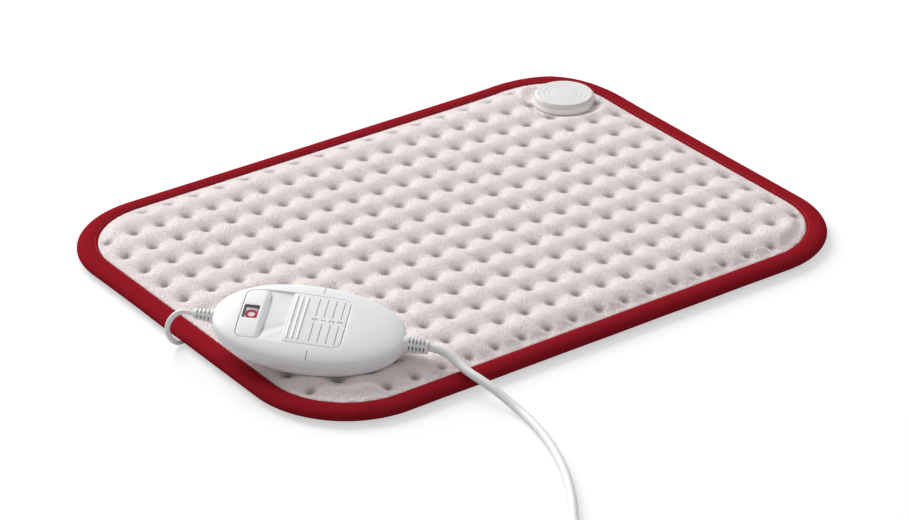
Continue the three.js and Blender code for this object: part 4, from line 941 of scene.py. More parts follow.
def circle(sides):
    """Points of a round outline, of radius 1."""
    angles = np.linspace(0, 2 * math.pi, sides, endpoint=False)
    return np.column_stack([np.cos(angles), np.sin(angles)])


def oval(sides, power):
    """Points of a round outline that is drawn out into its corners by a power below 1."""
    plan = circle(sides)
    return np.sign(plan) * np.abs(plan) ** power


def lathe(profile, sides=96):
    """A profile of (radius, height) turned round the upright axis, with a pole at each end."""
    plan = circle(sides)
    return skin([level(r * plan, z) for r, z in profile], caps=True)


def along_x(body):
    """Turns a body made round the upright axis so that it lies along +X."""
    points, faces = body
    return np.column_stack([points[:, 2], points[:, 0], points[:, 1]]), faces


def rounded_box(low, high, radii, x_steps=30, y_steps=22, turn=10):
    """Closed outline of a box in plan, with a radius for each corner from +X+Y round."""
    corners = [
        (high[0], high[1], -1, -1),
        (low[0], high[1], 1, -1),
        (low[0], low[1], 1, 1),
        (high[0], low[1], -1, 1),
    ]
    arcs = []
    for k, (x, y, sx, sy) in enumerate(corners):
        r = max(radii[k], 0.05)
        angles = math.pi / 2 * (k + np.linspace(0, 1, turn + 1))
        centre = np.array([x + sx * r, y + sy * r])
        arcs.append(centre + r * np.column_stack([np.cos(angles), np.sin(angles)]))
    points = []
    for k in range(4):
        points.append(arcs[k])
        steps = x_steps if k % 2 == 0 else y_steps
        share = np.linspace(0, 1, steps + 1)[1:-1, None]
        points.append(arcs[k][-1] * (1 - share) + arcs[(k + 1) % 4][0] * share)
    return np.vstack(points)


def ridge(x, y, radius, turn, top, root):
    """A ridge along Y, half round over its root. Both heights are worked out from the plan."""
    rings = []
    for angle in np.linspace(0, math.pi, turn):
        plan = np.column_stack([np.full(len(y), x + radius * math.cos(angle)), y])
        rings.append(level(plan, top(plan, math.sin(angle))))
    for side in (-radius, radius):
        plan = np.column_stack([np.full(len(y), x + side), y])
        rings.append(level(plan, root(plan)))
    return skin(np.stack(rings, 1), caps=True)


def smooth_line(points, steps=8):
    """Centripetal Catmull-Rom line through points, as the CAD leads follow it."""
    points = np.asarray(points, float)
    line = np.vstack([2 * points[0] - points[1], points, 2 * points[-1] - points[-2]])
    out = []
    t = np.linspace(0, 1, steps, endpoint=False)[:, None]
    for k in range(1, len(line) - 2):
        a, b, c, d = line[k - 1 : k + 3]
        before, here, after = (
            np.linalg.norm(q - p) ** 0.5 for p, q in ((a, b), (b, c), (c, d))
        )
        leave = ((b - a) / before - (c - a) / (before + here) + (c - b) / here) * here
        arrive = ((c - b) / here - (d - b) / (here + after) + (d - c) / after) * here
        out.append(
            b * (2 * t**3 - 3 * t**2 + 1)
            + leave * (t**3 - 2 * t**2 + t)
            + c * (3 * t**2 - 2 * t**3)
            + arrive * (t**3 - t**2)
        )
    return np.vstack([*out, points[-1:]])


def poly_curve(name, line):
    """A curve in straight steps through points in millimetres."""
    curve = bpy.data.curves.new(name, "CURVE")
    curve.dimensions = "3D"
    spline = curve.splines.new("POLY")
    spline.points.add(len(line) - 1)
    spline.points.foreach_set("co", np.column_stack([line * MM, np.ones(len(line))]).ravel())
    return curve, spline


def placed(matrix, *points):
    """Points of a local frame, in millimetres, in the pad's frame."""
    return np.array([matrix @ (Vector(point) * MM) for point in points]) / MM


# Geometry Nodes
def tree_with(name, sockets):
    """A node tree that takes and gives geometry, with named inputs."""
    tree = bpy.data.node_groups.new(name, "GeometryNodeTree")
    tree.interface.new_socket("Geometry", in_out="INPUT", socket_type="NodeSocketGeometry")
    for label, kind in sockets:
        tree.interface.new_socket(label, in_out="INPUT", socket_type=f"NodeSocket{kind}")
    tree.interface.new_socket("Geometry", in_out="OUTPUT", socket_type="NodeSocketGeometry")
    return tree, add_node(tree, "NodeGroupInput").outputs


def finish_tree(tree, given, points, part, scale, rotation=None):
    """Ends a tree: a part on each point, made real, in the material that is given."""
    inputs = {"Points": points, "Instance": part, "Scale": scale}
    if rotation is not None:
        inputs["Rotation"] = rotation
    copies = add_node(tree, "GeometryNodeInstanceOnPoints", inputs)
    real = add_node(tree, "GeometryNodeRealizeInstances", {
        "Geometry": copies.outputs["Instances"],
    })
    painted = add_node(tree, "GeometryNodeSetMaterial", {
        "Geometry": real.outputs["Geometry"],
        "Material": given["Material"],
    })
    add_node(tree, "NodeGroupOutput", {"Geometry": painted.outputs["Geometry"]})
    return tree


def row_tree():
    """Copies of a part in a row along X, each drawn in a little more."""
    found = bpy.data.node_groups.get("Row of parts")
    if found:
        return found
    tree, given = tree_with(
        "Row of parts",
        [("Count", "Int"), ("Pitch", "Float"), ("Shrink", "Float"), ("Material", "Material")],
    )
    step = add_node(tree, "ShaderNodeCombineXYZ", {"X": given["Pitch"]})
    line = add_node(tree, "GeometryNodeMeshLine", {
        "Count": given["Count"],
        "Offset": step.outputs["Vector"],
    })
    index = add_node(tree, "GeometryNodeInputIndex").outputs["Index"]
    taken = add_node(tree, "ShaderNodeMath", {0: index, 1: given["Shrink"]}, operation="MULTIPLY")
    left = add_node(tree, "ShaderNodeMath", {0: 1, 1: taken.outputs["Value"]}, operation="SUBTRACT")
    size = add_node(tree, "ShaderNodeCombineXYZ", {
        "X": 1,
        "Y": left.outputs["Value"],
        "Z": left.outputs["Value"],
    })
    return finish_tree(tree, given, line.outputs["Mesh"], given["Geometry"], size.outputs["Vector"])


def stitch_tree():
    """Stitches along a line, each a short thread."""
    tree, given = tree_with(
        "Stitches",
        [("Spacing", "Float"), ("Length", "Float"), ("Thread", "Float"),
         ("Material", "Material")],
    )
    spaced = add_node(tree, "GeometryNodeResampleCurve", {
        "Curve": given["Geometry"],
        "Length": given["Spacing"],
    }, mode="LENGTH")
    thread = add_node(tree, "GeometryNodeMeshUVSphere", {"Segments": 6, "Rings": 4, "Radius": 0.5})
    size = add_node(tree, "ShaderNodeCombineXYZ", {
        "X": given["Thread"],
        "Y": given["Thread"],
        "Z": given["Length"],
    })
    tangent = add_node(tree, "GeometryNodeInputTangent")
    aligned = add_node(tree, "FunctionNodeAlignRotationToVector", {
        "Vector": tangent.outputs["Tangent"],
    }, axis="Z")
    return finish_tree(tree, given, spaced.outputs["Curve"], thread.outputs["Mesh"],
                       size.outputs["Vector"], aligned.outputs["Rotation"])


def pile_tree():
    """Fibres strewn over a surface, leaning this way and that."""
    tree, given = tree_with(
        "Pile",
        [("Density", "Float"), ("Length", "Float"), ("Width", "Float"), ("Lean", "Float"),
         ("Seed", "Int"), ("Material", "Material")],
    )
    strewn = add_node(tree, "GeometryNodeDistributePointsOnFaces", {
        "Mesh": given["Geometry"],
        "Density": given["Density"],
        "Seed": given["Seed"],
    })
    flat = add_node(tree, "GeometryNodeMeshCircle", {
        "Vertices": 3,
        "Radius": 2 / 3,
    }, fill_type="NGON")
    blade = add_node(tree, "GeometryNodeTransform", {
        "Geometry": flat.outputs["Mesh"],
        "Rotation": (0, -math.pi / 2, 0),
        "Translation": (0, 0, 1 / 3),
    })
    less = add_node(tree, "ShaderNodeMath", {0: given["Lean"], 1: -1}, operation="MULTIPLY")
    low = add_node(tree, "ShaderNodeCombineXYZ", {
        "X": less.outputs["Value"],
        "Y": less.outputs["Value"],
    })
    high = add_node(tree, "ShaderNodeCombineXYZ", {
        "X": given["Lean"],
        "Y": given["Lean"],
        "Z": 2 * math.pi,
    })
    chance = add_node(tree, "FunctionNodeRandomValue", {
        "Min": low.outputs["Vector"],
        "Max": high.outputs["Vector"],
        "Seed": given["Seed"],
    }, data_type="FLOAT_VECTOR")
    tilt = add_node(tree, "FunctionNodeEulerToRotation", {"Euler": chance.outputs["Value"]})
    turned = add_node(tree, "FunctionNodeRotateRotation", {
        "Rotation": strewn.outputs["Rotation"],
        "Rotate By": tilt.outputs["Rotation"],
    }, rotation_space="LOCAL")
    size = add_node(tree, "ShaderNodeCombineXYZ", {
        "X": given["Width"],
        "Y": given["Width"],
        "Z": given["Length"],
    })
    return finish_tree(tree, given, strewn.outputs["Points"], blade.outputs["Geometry"],
                       size.outputs["Vector"], turned.outputs["Rotation"])


def through(tree, source, **inputs):
    """The mesh that a node tree makes of an object, with its inputs set by name."""
    nodes = source.modifiers.new(tree.name, "NODES")
    nodes.node_group = tree
    for item in tree.interface.items_tree:
        key = item.name.lower()
        if item.in_out == "INPUT" and key in inputs:
            nodes[item.identifier] = inputs[key]
    mesh = evaluated_mesh(source)
    mesh.shade_smooth()
    return mesh


def row(mesh, **inputs):
    """Copies of a mesh in a row, as one mesh."""
    return through(row_tree(), scratch(mesh), **inputs)


# Shapes of the pad
def pad_outline(inset, spacing):
    """Points round the pad, at a distance inside its outline."""
    half_x, half_y = PAD_LENGTH / 2 - inset, PAD_WIDTH / 2 - inset
    radius = PAD_CORNER - inset
    return rounded_box(
        (-half_x, -half_y),
        (half_x, half_y),
        [radius] * 4,
        x_steps=round(2 * (half_x - radius) / spacing),
        y_steps=round(2 * (half_y - radius) / spacing),
        turn=round(math.pi / 2 * radius / spacing),
    )


def inside_outline(x, y, inset):
    """How far points lie inside the outline, less an inset."""
    out_x = np.abs(x) - (PAD_LENGTH / 2 - PAD_CORNER)
    out_y = np.abs(y) - (PAD_WIDTH / 2 - PAD_CORNER)
    out = np.hypot(np.maximum(out_x, 0), np.maximum(out_y, 0))
    return PAD_CORNER - inset - out - np.minimum(np.maximum(out_x, out_y), 0)


def inside_corner(points):
    """1 on the straight sides of the pad, falling to 0 at the middle of each corner."""
    x = np.clip(np.abs(points[:, 0]) - (PAD_LENGTH / 2 - PAD_CORNER), 0, None)
    y = np.clip(np.abs(points[:, 1]) - (PAD_WIDTH / 2 - PAD_CORNER), 0, None)
    angle = np.arctan2(np.minimum(x, y), np.maximum(np.maximum(x, y), 1e-6))
    return 1 - angle / (math.pi / 4)


def corner_lift(x, y):
    """How far the coupling in the far corner holds the pad's edge up."""
    away = np.hypot(x - CORNER_LIFT_PLACE[0], y - CORNER_LIFT_PLACE[1])
    return CORNER_LIFT * np.exp(-((away / CORNER_LIFT_REACH) ** 2))


def from_coupling(x, y):
    """Distance of points from the coupling's middle."""
    return np.hypot(x - COUPLING_PLACE[0], y - COUPLING_PLACE[1])


def filled(loops, grid, keep):
    """Triangles over a region in plan: its loops, grid points in it, and a test for a middle."""
    points = np.vstack([*loops, grid])
    edges, start = [], 0
    for loop in loops:
        count = len(loop)
        edges += [(start + k, start + (k + 1) % count) for k in range(count)]
        start += count
    flat = [Vector(point) for point in points]
    faces, origins = delaunay_2d_cdt(flat, edges, [], 0, 1e-5)[2:4]
    source = np.array([origin[0] for origin in origins])
    faces = source[np.array(faces)]
    middles = points[faces].mean(1)
    return points, faces[keep(middles[:, 0], middles[:, 1])]


def smoothstep(value, low, high):
    """Rise from 0 to 1 between two values, level at both."""
    share = np.clip((value - low) / (high - low), 0, 1)
    return share * share * (3 - 2 * share)


def belly_over(x, y):
    """Height of the controller's belly over points of the pad, where it is over them."""
    inverse = np.array(CONTROL.inverted())
    height = np.full(len(x), np.inf)
    for z in np.arange(BELLY_HIGH, BELLY_LOW, -BELLY_STEP):
        local = inverse[:3, :3] @ (np.stack([x, y, np.full(len(x), z)]) * MM)
        local = (local + inverse[:3, 3:]) / MM
        plan = np.abs(local[0] / HALF_LENGTH) ** PLAN_POWER
        plan += np.abs(local[1] / HALF_WIDTH) ** PLAN_POWER
        rise = np.abs(local[2] / np.where(local[2] > 0, CROWN_RISE, BELLY_DROP))
        inside = plan ** (PROFILE_POWER / PLAN_POWER) + rise**PROFILE_POWER < 1
        height[inside] = z
    return height


def tuft_distance(x, y):
    """Distance across and along from the nearest sewn point, and whether one is sewn there."""
    pad = settings().pad
    pitch_x, pitch_y = pad.pitch_x / MM, pad.pitch_y / MM
    column = (np.round(x / pitch_x - 0.5) + 0.5) * pitch_x
    line = np.round(y / pitch_y) * pitch_y
    sewn = inside_outline(column, line, TAPE_WIDTH) > TUFT_MARGIN
    return x - column, y - line, sewn


def cloth_half():
    """Half the size of the cloth's grid, in tufts, with every sewn point on a grid point."""
    pad = settings().pad
    across = math.ceil(PAD_LENGTH / 2 / (pad.pitch_x / MM)) + 0.5
    return across, math.ceil(PAD_WIDTH / 2 / (pad.pitch_y / MM))


def blown(plan, held):
    """Rise of a level cloth under pressure that is held at some of its points."""
    flat = level(plan.reshape(-1, 2), 0.0).reshape(*plan.shape[:2], 3)
    points, faces = skin(flat, around=False)
    mesh = bpy.data.meshes.new("cloth")
    mesh.from_pydata((points * MM).tolist(), [], [face[::-1] for face in faces])
    sheet = scratch(mesh)
    pinned = sheet.vertex_groups.new(name="sewn")
    pinned.add(np.flatnonzero(held).tolist(), 1, "REPLACE")
    cloth = sheet.modifiers.new("cloth", "CLOTH")
    cloth.settings.vertex_group_mass = pinned.name
    cloth.settings.mass = CLOTH_MASS
    cloth.settings.tension_stiffness = CLOTH_STIFFNESS
    cloth.settings.compression_stiffness = CLOTH_STIFFNESS
    cloth.settings.shear_stiffness = CLOTH_SHEAR
    cloth.settings.use_pressure = True
    cloth.settings.uniform_pressure_force = CLOTH_PRESSURE
    cloth.settings.effector_weights.gravity = 0
    cloth.collision_settings.use_collision = False
    cloth.point_cache.frame_start = 1
    cloth.point_cache.frame_end = CLOTH_FRAMES
    scene = bpy.context.scene
    for frame_number in range(1, CLOTH_FRAMES + 1):
        scene.frame_set(frame_number)
    swollen_mesh = evaluated_mesh(sheet)
    scene.frame_set(1)
    rise = np.array([v.co.z for v in swollen_mesh.vertices]) / MM
    bpy.data.meshes.remove(swollen_mesh)
    return rise


def swollen():
    """Swell of a cloth under pressure that is sewn down at the tufts and round the edge."""
    pad = settings().pad
    half_x, half_y = cloth_half()
    columns = np.arange(round(2 * half_x * CLOTH_STEPS) + 1) / CLOTH_STEPS - half_x
    lines = np.arange(2 * half_y * CLOTH_STEPS + 1) / CLOTH_STEPS - half_y
    plan = np.stack(np.meshgrid(columns * pad.pitch_x, lines * pad.pitch_y, indexing="ij"), -1) / MM
    x, y = plan.reshape(-1, 2).T
    across, along, sewn = tuft_distance(x, y)
    distance = np.hypot(across, along)
    edge = inside_outline(x, y, TAPE_WIDTH)
    rise = blown(plan, (sewn & (distance < CLOTH_SEWN)) | (edge < CLOTH_HELD))
    rise = np.clip(rise, 0, CLOTH_CAP)
    return (rise / np.percentile(rise, CLOTH_FULL) * pad.swell / MM).reshape(plan.shape[:2])


def between(grid, u, v):
    """Values between a grid's points, by cubic steps."""
    def weights(t):
        return ((2 * t**2 - t - t**3) / 2, (2 - 5 * t**2 + 3 * t**3) / 2,
                (t + 4 * t**2 - 3 * t**3) / 2, (t**3 - t**2) / 2)

    i = np.clip(np.floor(u).astype(int), 1, grid.shape[0] - 3)
    j = np.clip(np.floor(v).astype(int), 1, grid.shape[1] - 3)
    value = np.zeros(len(u))
    for a, share in enumerate(weights(u - i)):
        for b, part in enumerate(weights(v - j)):
            value += share * part * grid[i + a - 1, j + b - 1]
    return value


def plush_height(x, y):
    """Height of the tufted plush, and the weight of painted shade in a tuft, from 0 to 1."""
    pad = settings().pad
    across, along, sewn = tuft_distance(x, y)
    distance = np.hypot(across, along)
    half_x, half_y = cloth_half()
    swell = between(
        swollen(),
        (x / (pad.pitch_x / MM) + half_x) * CLOTH_STEPS,
        (y / (pad.pitch_y / MM) + half_y) * CLOTH_STEPS,
    )
    pull = np.clip(1 - distance / (pad.tuft_reach / MM), 0, 1) ** 2 * sewn
    scale = PLUSH_WAVE_SCALE
    wave = np.array([noise.noise((a * scale, b * scale, 3.1)) for a, b in zip(x, y)])
    z = (pad.crest - pad.swell) / MM + swell + PLUSH_WAVE * wave - pad.tuft_depth / MM * pull
    inside = inside_outline(x, y, TAPE_WIDTH)
    run = smoothstep(inside, PLUSH_EDGE_START, PLUSH_EDGE_RUN)
    z = np.minimum(z, PLUSH_EDGE + (pad.crest / MM + 1 - PLUSH_EDGE) * run)
    dip = PLUSH_DIP * smoothstep(inside, 0, TUFT_MARGIN - 1)
    z = np.maximum(z, PLUSH_EDGE - dip) + corner_lift(x, y)
    clear = smoothstep(from_coupling(x, y), COUPLING_RADIUS, COUPLING_RADIUS + PRESSED_RUN)
    z = np.minimum(z, COUPLING_SEAT - GAP + PRESSED_RISE * clear)
    # painted shade, darkest at each sewn point, where shade falls in the tuft's pit
    painted_tuft_shade = np.exp(-((distance / TUFT_SHADE) ** 2)) * sewn
    return np.maximum(np.minimum(z, belly_over(x, y) - GAP), PLUSH_LEAST), painted_tuft_shade


def underside_height(x, y):
    """How far the underside is drawn up by its stitches, the edge, the lead and the coupling."""
    across, along, sewn = tuft_distance(x, y)
    tuft = np.hypot(across, along) / SEWN_DENT_REACH
    z = SEWN_DENT * np.exp(-(tuft**SEWN_DENT_POWER)) * sewn
    edge = inside_outline(x, y, TAPE_WIDTH + GAP)
    z = np.maximum(z, EDGE_DENT * (1 - np.clip(edge / EDGE_DENT_REACH, 0, 1)) ** 2)
    line = smooth_line(lead_under(), steps=40)[:, :2]
    near = np.min(np.hypot(x[:, None] - line[:, 0], y[:, None] - line[:, 1]), axis=1)
    z = np.maximum(z, LEAD_DENT * np.exp(-((near / LEAD_DENT_REACH) ** 4)))
    local = np.column_stack([x, y]) - COUPLING_PLACE
    cos, sin = math.cos(COUPLING_YAW), math.sin(COUPLING_YAW)
    u, v = local @ (cos, sin), local @ (-sin, cos)
    pocket = np.maximum(np.abs(v) - PLUG_HALF_WIDTH, np.maximum(u, -PLUG_BOOT_END - u))
    reach = np.hypot(u, v)
    for depth, away, run in (
        (PLUG_DENT, pocket, DENT_RUN),
        (CLAMP_DENT, reach - CLAMP_RADIUS, DENT_RUN),
        (PLUG_DENT, reach - HUB_RADIUS, HUB_DENT_RUN),
    ):
        z = np.maximum(z, depth * (1 - smoothstep(away, DENT_CLEAR, run)))
    return z


def tape_section():
    """Inset from the outline and height, from the top lip round the outside to the slot."""
    middle, half = (TAPE_LOW + TAPE_HIGH) / 2, (TAPE_HIGH - TAPE_LOW) / 2
    points = list(TAPE_LIP)
    for inset in np.linspace(TAPE_LIP_EDGE, TAPE_ROUND, TAPE_LIP_STEPS):
        fall = (inset - TAPE_ROUND) / (TAPE_WIDTH - TAPE_ROUND)
        points.append((inset, TAPE_HIGH - TAPE_DROOP * fall**2))
    for angle in np.linspace(TAPE_ROUND_START, 1, TAPE_ROUND_STEPS) * math.pi:
        points.append((TAPE_ROUND * (1 - math.sin(angle)), middle + half * math.cos(angle)))
    return np.array([*points, *TAPE_FOLD])


def creased(rings):
    """Pinches the tape where it is gathered at the near corner."""
    for x, y, depth, width in CREASES:
        reach = np.hypot(rings[:, :, 0] - x, rings[:, :, 1] - y)
        rings[:, :, 2] -= depth * np.exp(-((reach / width) ** 2)) * (rings[:, :, 2] > CREASE_LEAST)
    return rings


def lead_under():
    """Centre line of the pad lead under the pad, with its free stretch left out."""
    before, last = (np.array(point) for point in PAD_LEAD_FALL[-2:])
    heading = (last - before) / np.linalg.norm(last - before)
    start = last + heading * GAP
    reach = -PLUG_BOOT_END - GAP
    end = placed(COUPLING, (reach - PAD_LEAD_STRAIGHT, 0, 0), (reach, 0, 0))
    end[:, 2] = LEAD_UNDER_Z
    return np.vstack([start, start + heading * PAD_LEAD_STRAIGHT, end])


# Shapes of the controller
def plan_share(plan):
    """How far points lie out from the housing's middle, 1 on its widest outline."""
    x, y = np.abs(plan[:, 0] / HALF_LENGTH), np.abs(plan[:, 1] / HALF_WIDTH)
    return (x**PLAN_POWER + y**PLAN_POWER) ** (1 / PLAN_POWER)


def crown(plan):
    """Height of the housing's top over points in plan."""
    share = np.clip(plan_share(np.asarray(plan, float)), 0, 1)
    return CROWN_RISE * (1 - share**PROFILE_POWER) ** (1 / PROFILE_POWER)


def on_crown(plan, lift=0.0):
    """Points in plan, laid on the crown or lifted off it."""
    return level(plan, crown(plan) + lift)


def crown_on(x, plan):
    """Height of the crown on a line across the housing, level with points of an outline."""
    return crown(np.column_stack([np.full(len(plan), x), plan[:, 1]]))


def recess_outline(grow):
    """Outline of the recess in the crown, grown by a distance."""
    half_x, half_y = RECESS_LENGTH / 2 + grow, RECESS_WIDTH / 2 + grow
    corner = RECESS_CORNER + grow
    return rounded_box(
        (RECESS_X - half_x, -half_y), (RECESS_X + half_x, half_y), [corner] * 4
    )


def slot_outline():
    """Slot that the slider's stem runs in."""
    low = STEM_X - STEM_HALF[0] - TRAVEL - SLIDE_GAP
    high = STEM_X + STEM_HALF[0] + SLIDE_GAP
    side = STEM_HALF[1] + SLIDE_GAP
    return rounded_box((low, -side), (high, side), [SLOT_CORNER] * 4)


def upper_shell():
    """Crown of the housing with the recess let into it, one closed skin round the opening."""
    edge = RECESS_EDGE
    foot = recess_outline(-edge)
    floor = np.minimum(VALLEY_FLOOR, crown(foot) - 2 * edge)
    rings = [level(foot, floor)]
    for out, down in EDGE_ROUND[1:-1]:
        rings.append(level(recess_outline(edge * (out - 1)), floor + edge * (1 - down)))
    for out, down in EDGE_ROUND:
        plan = recess_outline(edge * out)
        rings.append(level(plan, crown(plan) - edge * down))
    start = recess_outline(edge)
    away = start - (RECESS_X, 0)
    away /= np.linalg.norm(away, axis=1)[:, None]
    tilt = np.arccos(plan_share(start) ** (PROFILE_POWER / 2))
    for k in range(1, CROWN_ROWS + 1):
        target = np.cos(tilt * (1 - k / CROWN_ROWS)) ** (2 / PROFILE_POWER)
        low, high = np.zeros(len(start)), np.full(len(start), 2 * HALF_LENGTH)
        for _ in range(CROWN_HALVINGS):
            middle = (low + high) / 2
            short = plan_share(start + away * middle[:, None]) < target
            low, high = np.where(short, middle, low), np.where(short, high, middle)
        plan = start + away * low[:, None]
        rings.append(level(plan, np.maximum(crown(plan), PARTING)))
    rim = rings[-1][:, :2]
    for share, z in CROWN_INSIDE:
        rings.append(level(rim * share, z))
    slot = slot_outline()
    rings += [level(slot, RECESS_CEILING), level(slot, VALLEY_FLOOR)]
    return skin(rings, along=True)


def display_pocket():
    """Room for the display, deeper than the valley that the slider runs in."""
    low = RECESS_X - RECESS_LENGTH / 2
    side = RECESS_WIDTH / 2
    corners = [POCKET_CORNER, RECESS_CORNER, RECESS_CORNER, POCKET_CORNER]
    plan = rounded_box((low, -side), (POCKET_END, side), corners)
    return skin([level(plan, RECESS_FLOOR), level(plan, CROWN_RISE)], caps=True)


def lower_shell():
    """Belly of the housing, a shell with room inside."""
    plan = oval(BELLY_SIDES, 2 / PLAN_POWER)

    def bowl(offset, rows):
        tilts = np.linspace(0, BELLY_CLOSE, rows) * math.pi / 2
        reach = np.array([HALF_LENGTH - offset, HALF_WIDTH - offset])
        for tilt in tilts:
            spread = math.cos(tilt) ** (2 / PROFILE_POWER)
            drop = (BELLY_DROP - offset) * math.sin(tilt) ** (2 / PROFILE_POWER)
            yield level(plan * reach * spread, -max(drop, PARTING))

    rings = [*list(bowl(0, BELLY_ROWS))[::-1], *bowl(BELLY_WALL, BELLY_INNER_ROWS)]
    return skin(rings, caps=True)


def screw_bores():
    """Bores for the four screws, from below."""
    bores = []
    for x in (-1, 1):
        for y in (-1, 1):
            bore, faces = lathe(SCREW_BORE, 40)
            bores.append((bore + (x * SCREWS[0], y * SCREWS[1], 0), faces))
    return joined(*bores)


def slider_plate():
    """Slide switch that follows the crown, with a slanted free edge and its stem below."""
    side = RECESS_WIDTH / 2 - SLIDE_GAP
    bottom = VALLEY_FLOOR + GAP
    inner, outer = SLIDER_CORNER, RECESS_CORNER - SLIDE_GAP

    def outline(inset, drop=0.0):
        """Outline whose free edge lies under the slanted face, at a drop below the crown."""
        low, high = (SLIDER_EDGE + inset, -side + inset), (SLIDER_END - inset, side - inset)
        plan = rounded_box(low, high, [r - inset for r in (outer, inner, inner, outer)])
        near = 1 - smoothstep(plan[:, 0], *(SLIDER_EDGE + run for run in SLIDER_SLANT))
        plan[:, 0] += near * drop * SLOPE_RUN
        return plan

    edge = SLIDER_ROUND
    middle = np.array([(SLIDER_EDGE + SLIDER_END) / 2, 0])
    whole = outline(0)
    rings = [level(outline(0, np.maximum(crown_on(SLIDER_EDGE, whole) - bottom, 0)), bottom)]
    rings.append(level(outline(0, 2 * edge), crown(whole) - 2 * edge))
    for out, down in EDGE_ROUND:
        plan = outline(edge * out)
        rings.append(level(plan, crown(plan) - edge * down))
    last = outline(edge)
    for share in SLIDER_ROWS:
        rings.append(on_crown(middle + (last - middle) * share))
    plate = skin(rings, caps=True)
    low = (STEM_X - STEM_HALF[0], -STEM_HALF[1])
    high = (STEM_X + STEM_HALF[0], STEM_HALF[1])
    stem = rounded_box(low, high, [STEM_CORNER] * 4, x_steps=4, y_steps=4, turn=4)
    drop = RECESS_FLOOR - STEM_DROP
    return joined(plate, skin([level(stem, drop), level(stem, bottom + GAP)], caps=True))


def grip_rib():
    """The first of the ribs across the slide switch."""
    y = np.linspace(-GRIP_HALF, GRIP_HALF, GRIP_STEPS)
    rise = GRIP_RISE * np.sqrt(np.clip(1 - (y / GRIP_END) ** GRIP_END_POWER, 0, 1))
    return ridge(
        GRIP_FIRST, y, GRIP_RADIUS, GRIP_TURN,
        top=lambda plan, up: crown(plan) - GRIP_SINK + rise * up,
        root=lambda plan: crown(plan) - GRIP_ROOT,
    )


def display_frame():
    """Block that stands in the recess's end, with a slanted face towards the slider."""
    side = RECESS_WIDTH / 2 - GAP
    left = RECESS_X - RECESS_LENGTH / 2 + GAP
    inner, outer = FRAME_CORNER, RECESS_CORNER - GAP

    def outline(inset, out=0.0):
        """Outline whose edge towards the slider is moved out, onto the slanted face."""
        low, high = (left + inset, -side + inset), (FRAME_EDGE - inset, side - inset)
        plan = rounded_box(low, high, [r - inset for r in (inner, outer, outer, inner)])
        plan[:, 0] += smoothstep(plan[:, 0], FRAME_EDGE - FRAME_SLANT, FRAME_EDGE - inset) * out
        return plan

    def window(grow):
        x, y = WINDOW_HALF[0] + grow, WINDOW_HALF[1] + grow
        return rounded_box((WINDOW_X - x, -y), (WINDOW_X + x, y), [WINDOW_CORNER + grow] * 4)

    edge, lip = FRAME_ROUND, FRAME_LIP
    whole = outline(0)
    foot = outline(0, POCKET_END - GAP - FRAME_EDGE)
    shelf = np.minimum(VALLEY_FLOOR + GAP, crown(whole) - FRAME_SHELF * edge)
    bottom = RECESS_FLOOR + GAP
    rings = [level(foot, np.minimum(bottom, shelf - GAP)), level(foot, shelf)]
    toe = np.maximum(crown_on(FRAME_EDGE, whole) - shelf, edge) * SLOPE_RUN
    rings.append(level(outline(0, toe), shelf))
    for out, down in EDGE_ROUND:
        plan = outline(edge * out, edge * down * SLOPE_RUN)
        rings.append(level(plan, crown(outline(edge * out)) - edge * down))
    around, opening = outline(edge), window(lip)
    for share in (0.25, 0.5, 0.75):
        rings.append(on_crown(around * (1 - share) + opening * share))
    for out, down in EDGE_ROUND[::-1]:
        plan = window(lip * out)
        rings.append(level(plan, crown(plan) - lip * down))
    ledge = window(-WINDOW_LEDGE)
    rings += [level(window(0), WINDOW_SEAT), level(ledge, WINDOW_SEAT), level(ledge, bottom)]
    return skin(rings, along=True)


def strip(x, start, end, width, steps=24):
    """A printed line along Y, lying on the crown."""
    y = np.linspace(start, end, steps)
    rings = []
    for side, lift in ((-1, -PRINT_SINK), (1, -PRINT_SINK), (1, PRINT_LIFT), (-1, PRINT_LIFT)):
        plan = np.column_stack([np.full(steps, x + side * width / 2), y])
        rings.append(on_crown(plan, lift))
    return skin(np.stack(rings, 1), caps=True)


def printed_figure(text, height, x):
    """A figure printed on the crown, with its top towards -X."""
    letters = bpy.data.curves.new("figure", "FONT")
    letters.body = text
    letters.extrude = 0.5
    letters.resolution_u = 6
    mesh = evaluated_mesh(scratch(letters))
    co = np.array([v.co for v in mesh.vertices])
    faces = [list(face.vertices) for face in mesh.polygons]
    bpy.data.meshes.remove(mesh)
    low, high = co.min(0), co.max(0)
    co -= (low + high) / 2
    scale = height / (high[1] - low[1])
    plan = np.column_stack([-co[:, 1] * scale + x, co[:, 0] * scale])
    return on_crown(plan, np.where(co[:, 2] > 0, PRINT_LIFT, -PRINT_SINK)), faces


# Shapes of the leads
def lead_exit(end, gland, straight):
    """Start of a lead in front of its relief and the end of its straight part."""
    first = GLAND_FOOT + gland["reach"] + GAP
    return placed(CONTROL, (end * first, 0, GLAND_Z), (end * (first + straight), 0, GLAND_Z))


def coil_line():
    """In on the lower layer and out again on the upper one."""
    half = 2 * math.pi * COIL_TURNS
    full = 2 * half + 2 * math.pi * COIL_EXTRA
    turn = np.linspace(0, full, COIL_STEPS)
    radius = COIL_INNER + COIL_PITCH * np.abs(turn - half) / (2 * math.pi)
    angle = COIL_START + turn
    z = COIL_BASE + COIL_PITCH * smoothstep(turn - half, -math.pi / 2, math.pi / 2)
    line = np.column_stack([radius * np.cos(angle), radius * np.sin(angle), z])
    line[:, :2] += COIL_CENTRE
    headings = [np.array([-math.sin(a), math.cos(a), 0]) for a in (angle[0], angle[-1])]
    return line, headings


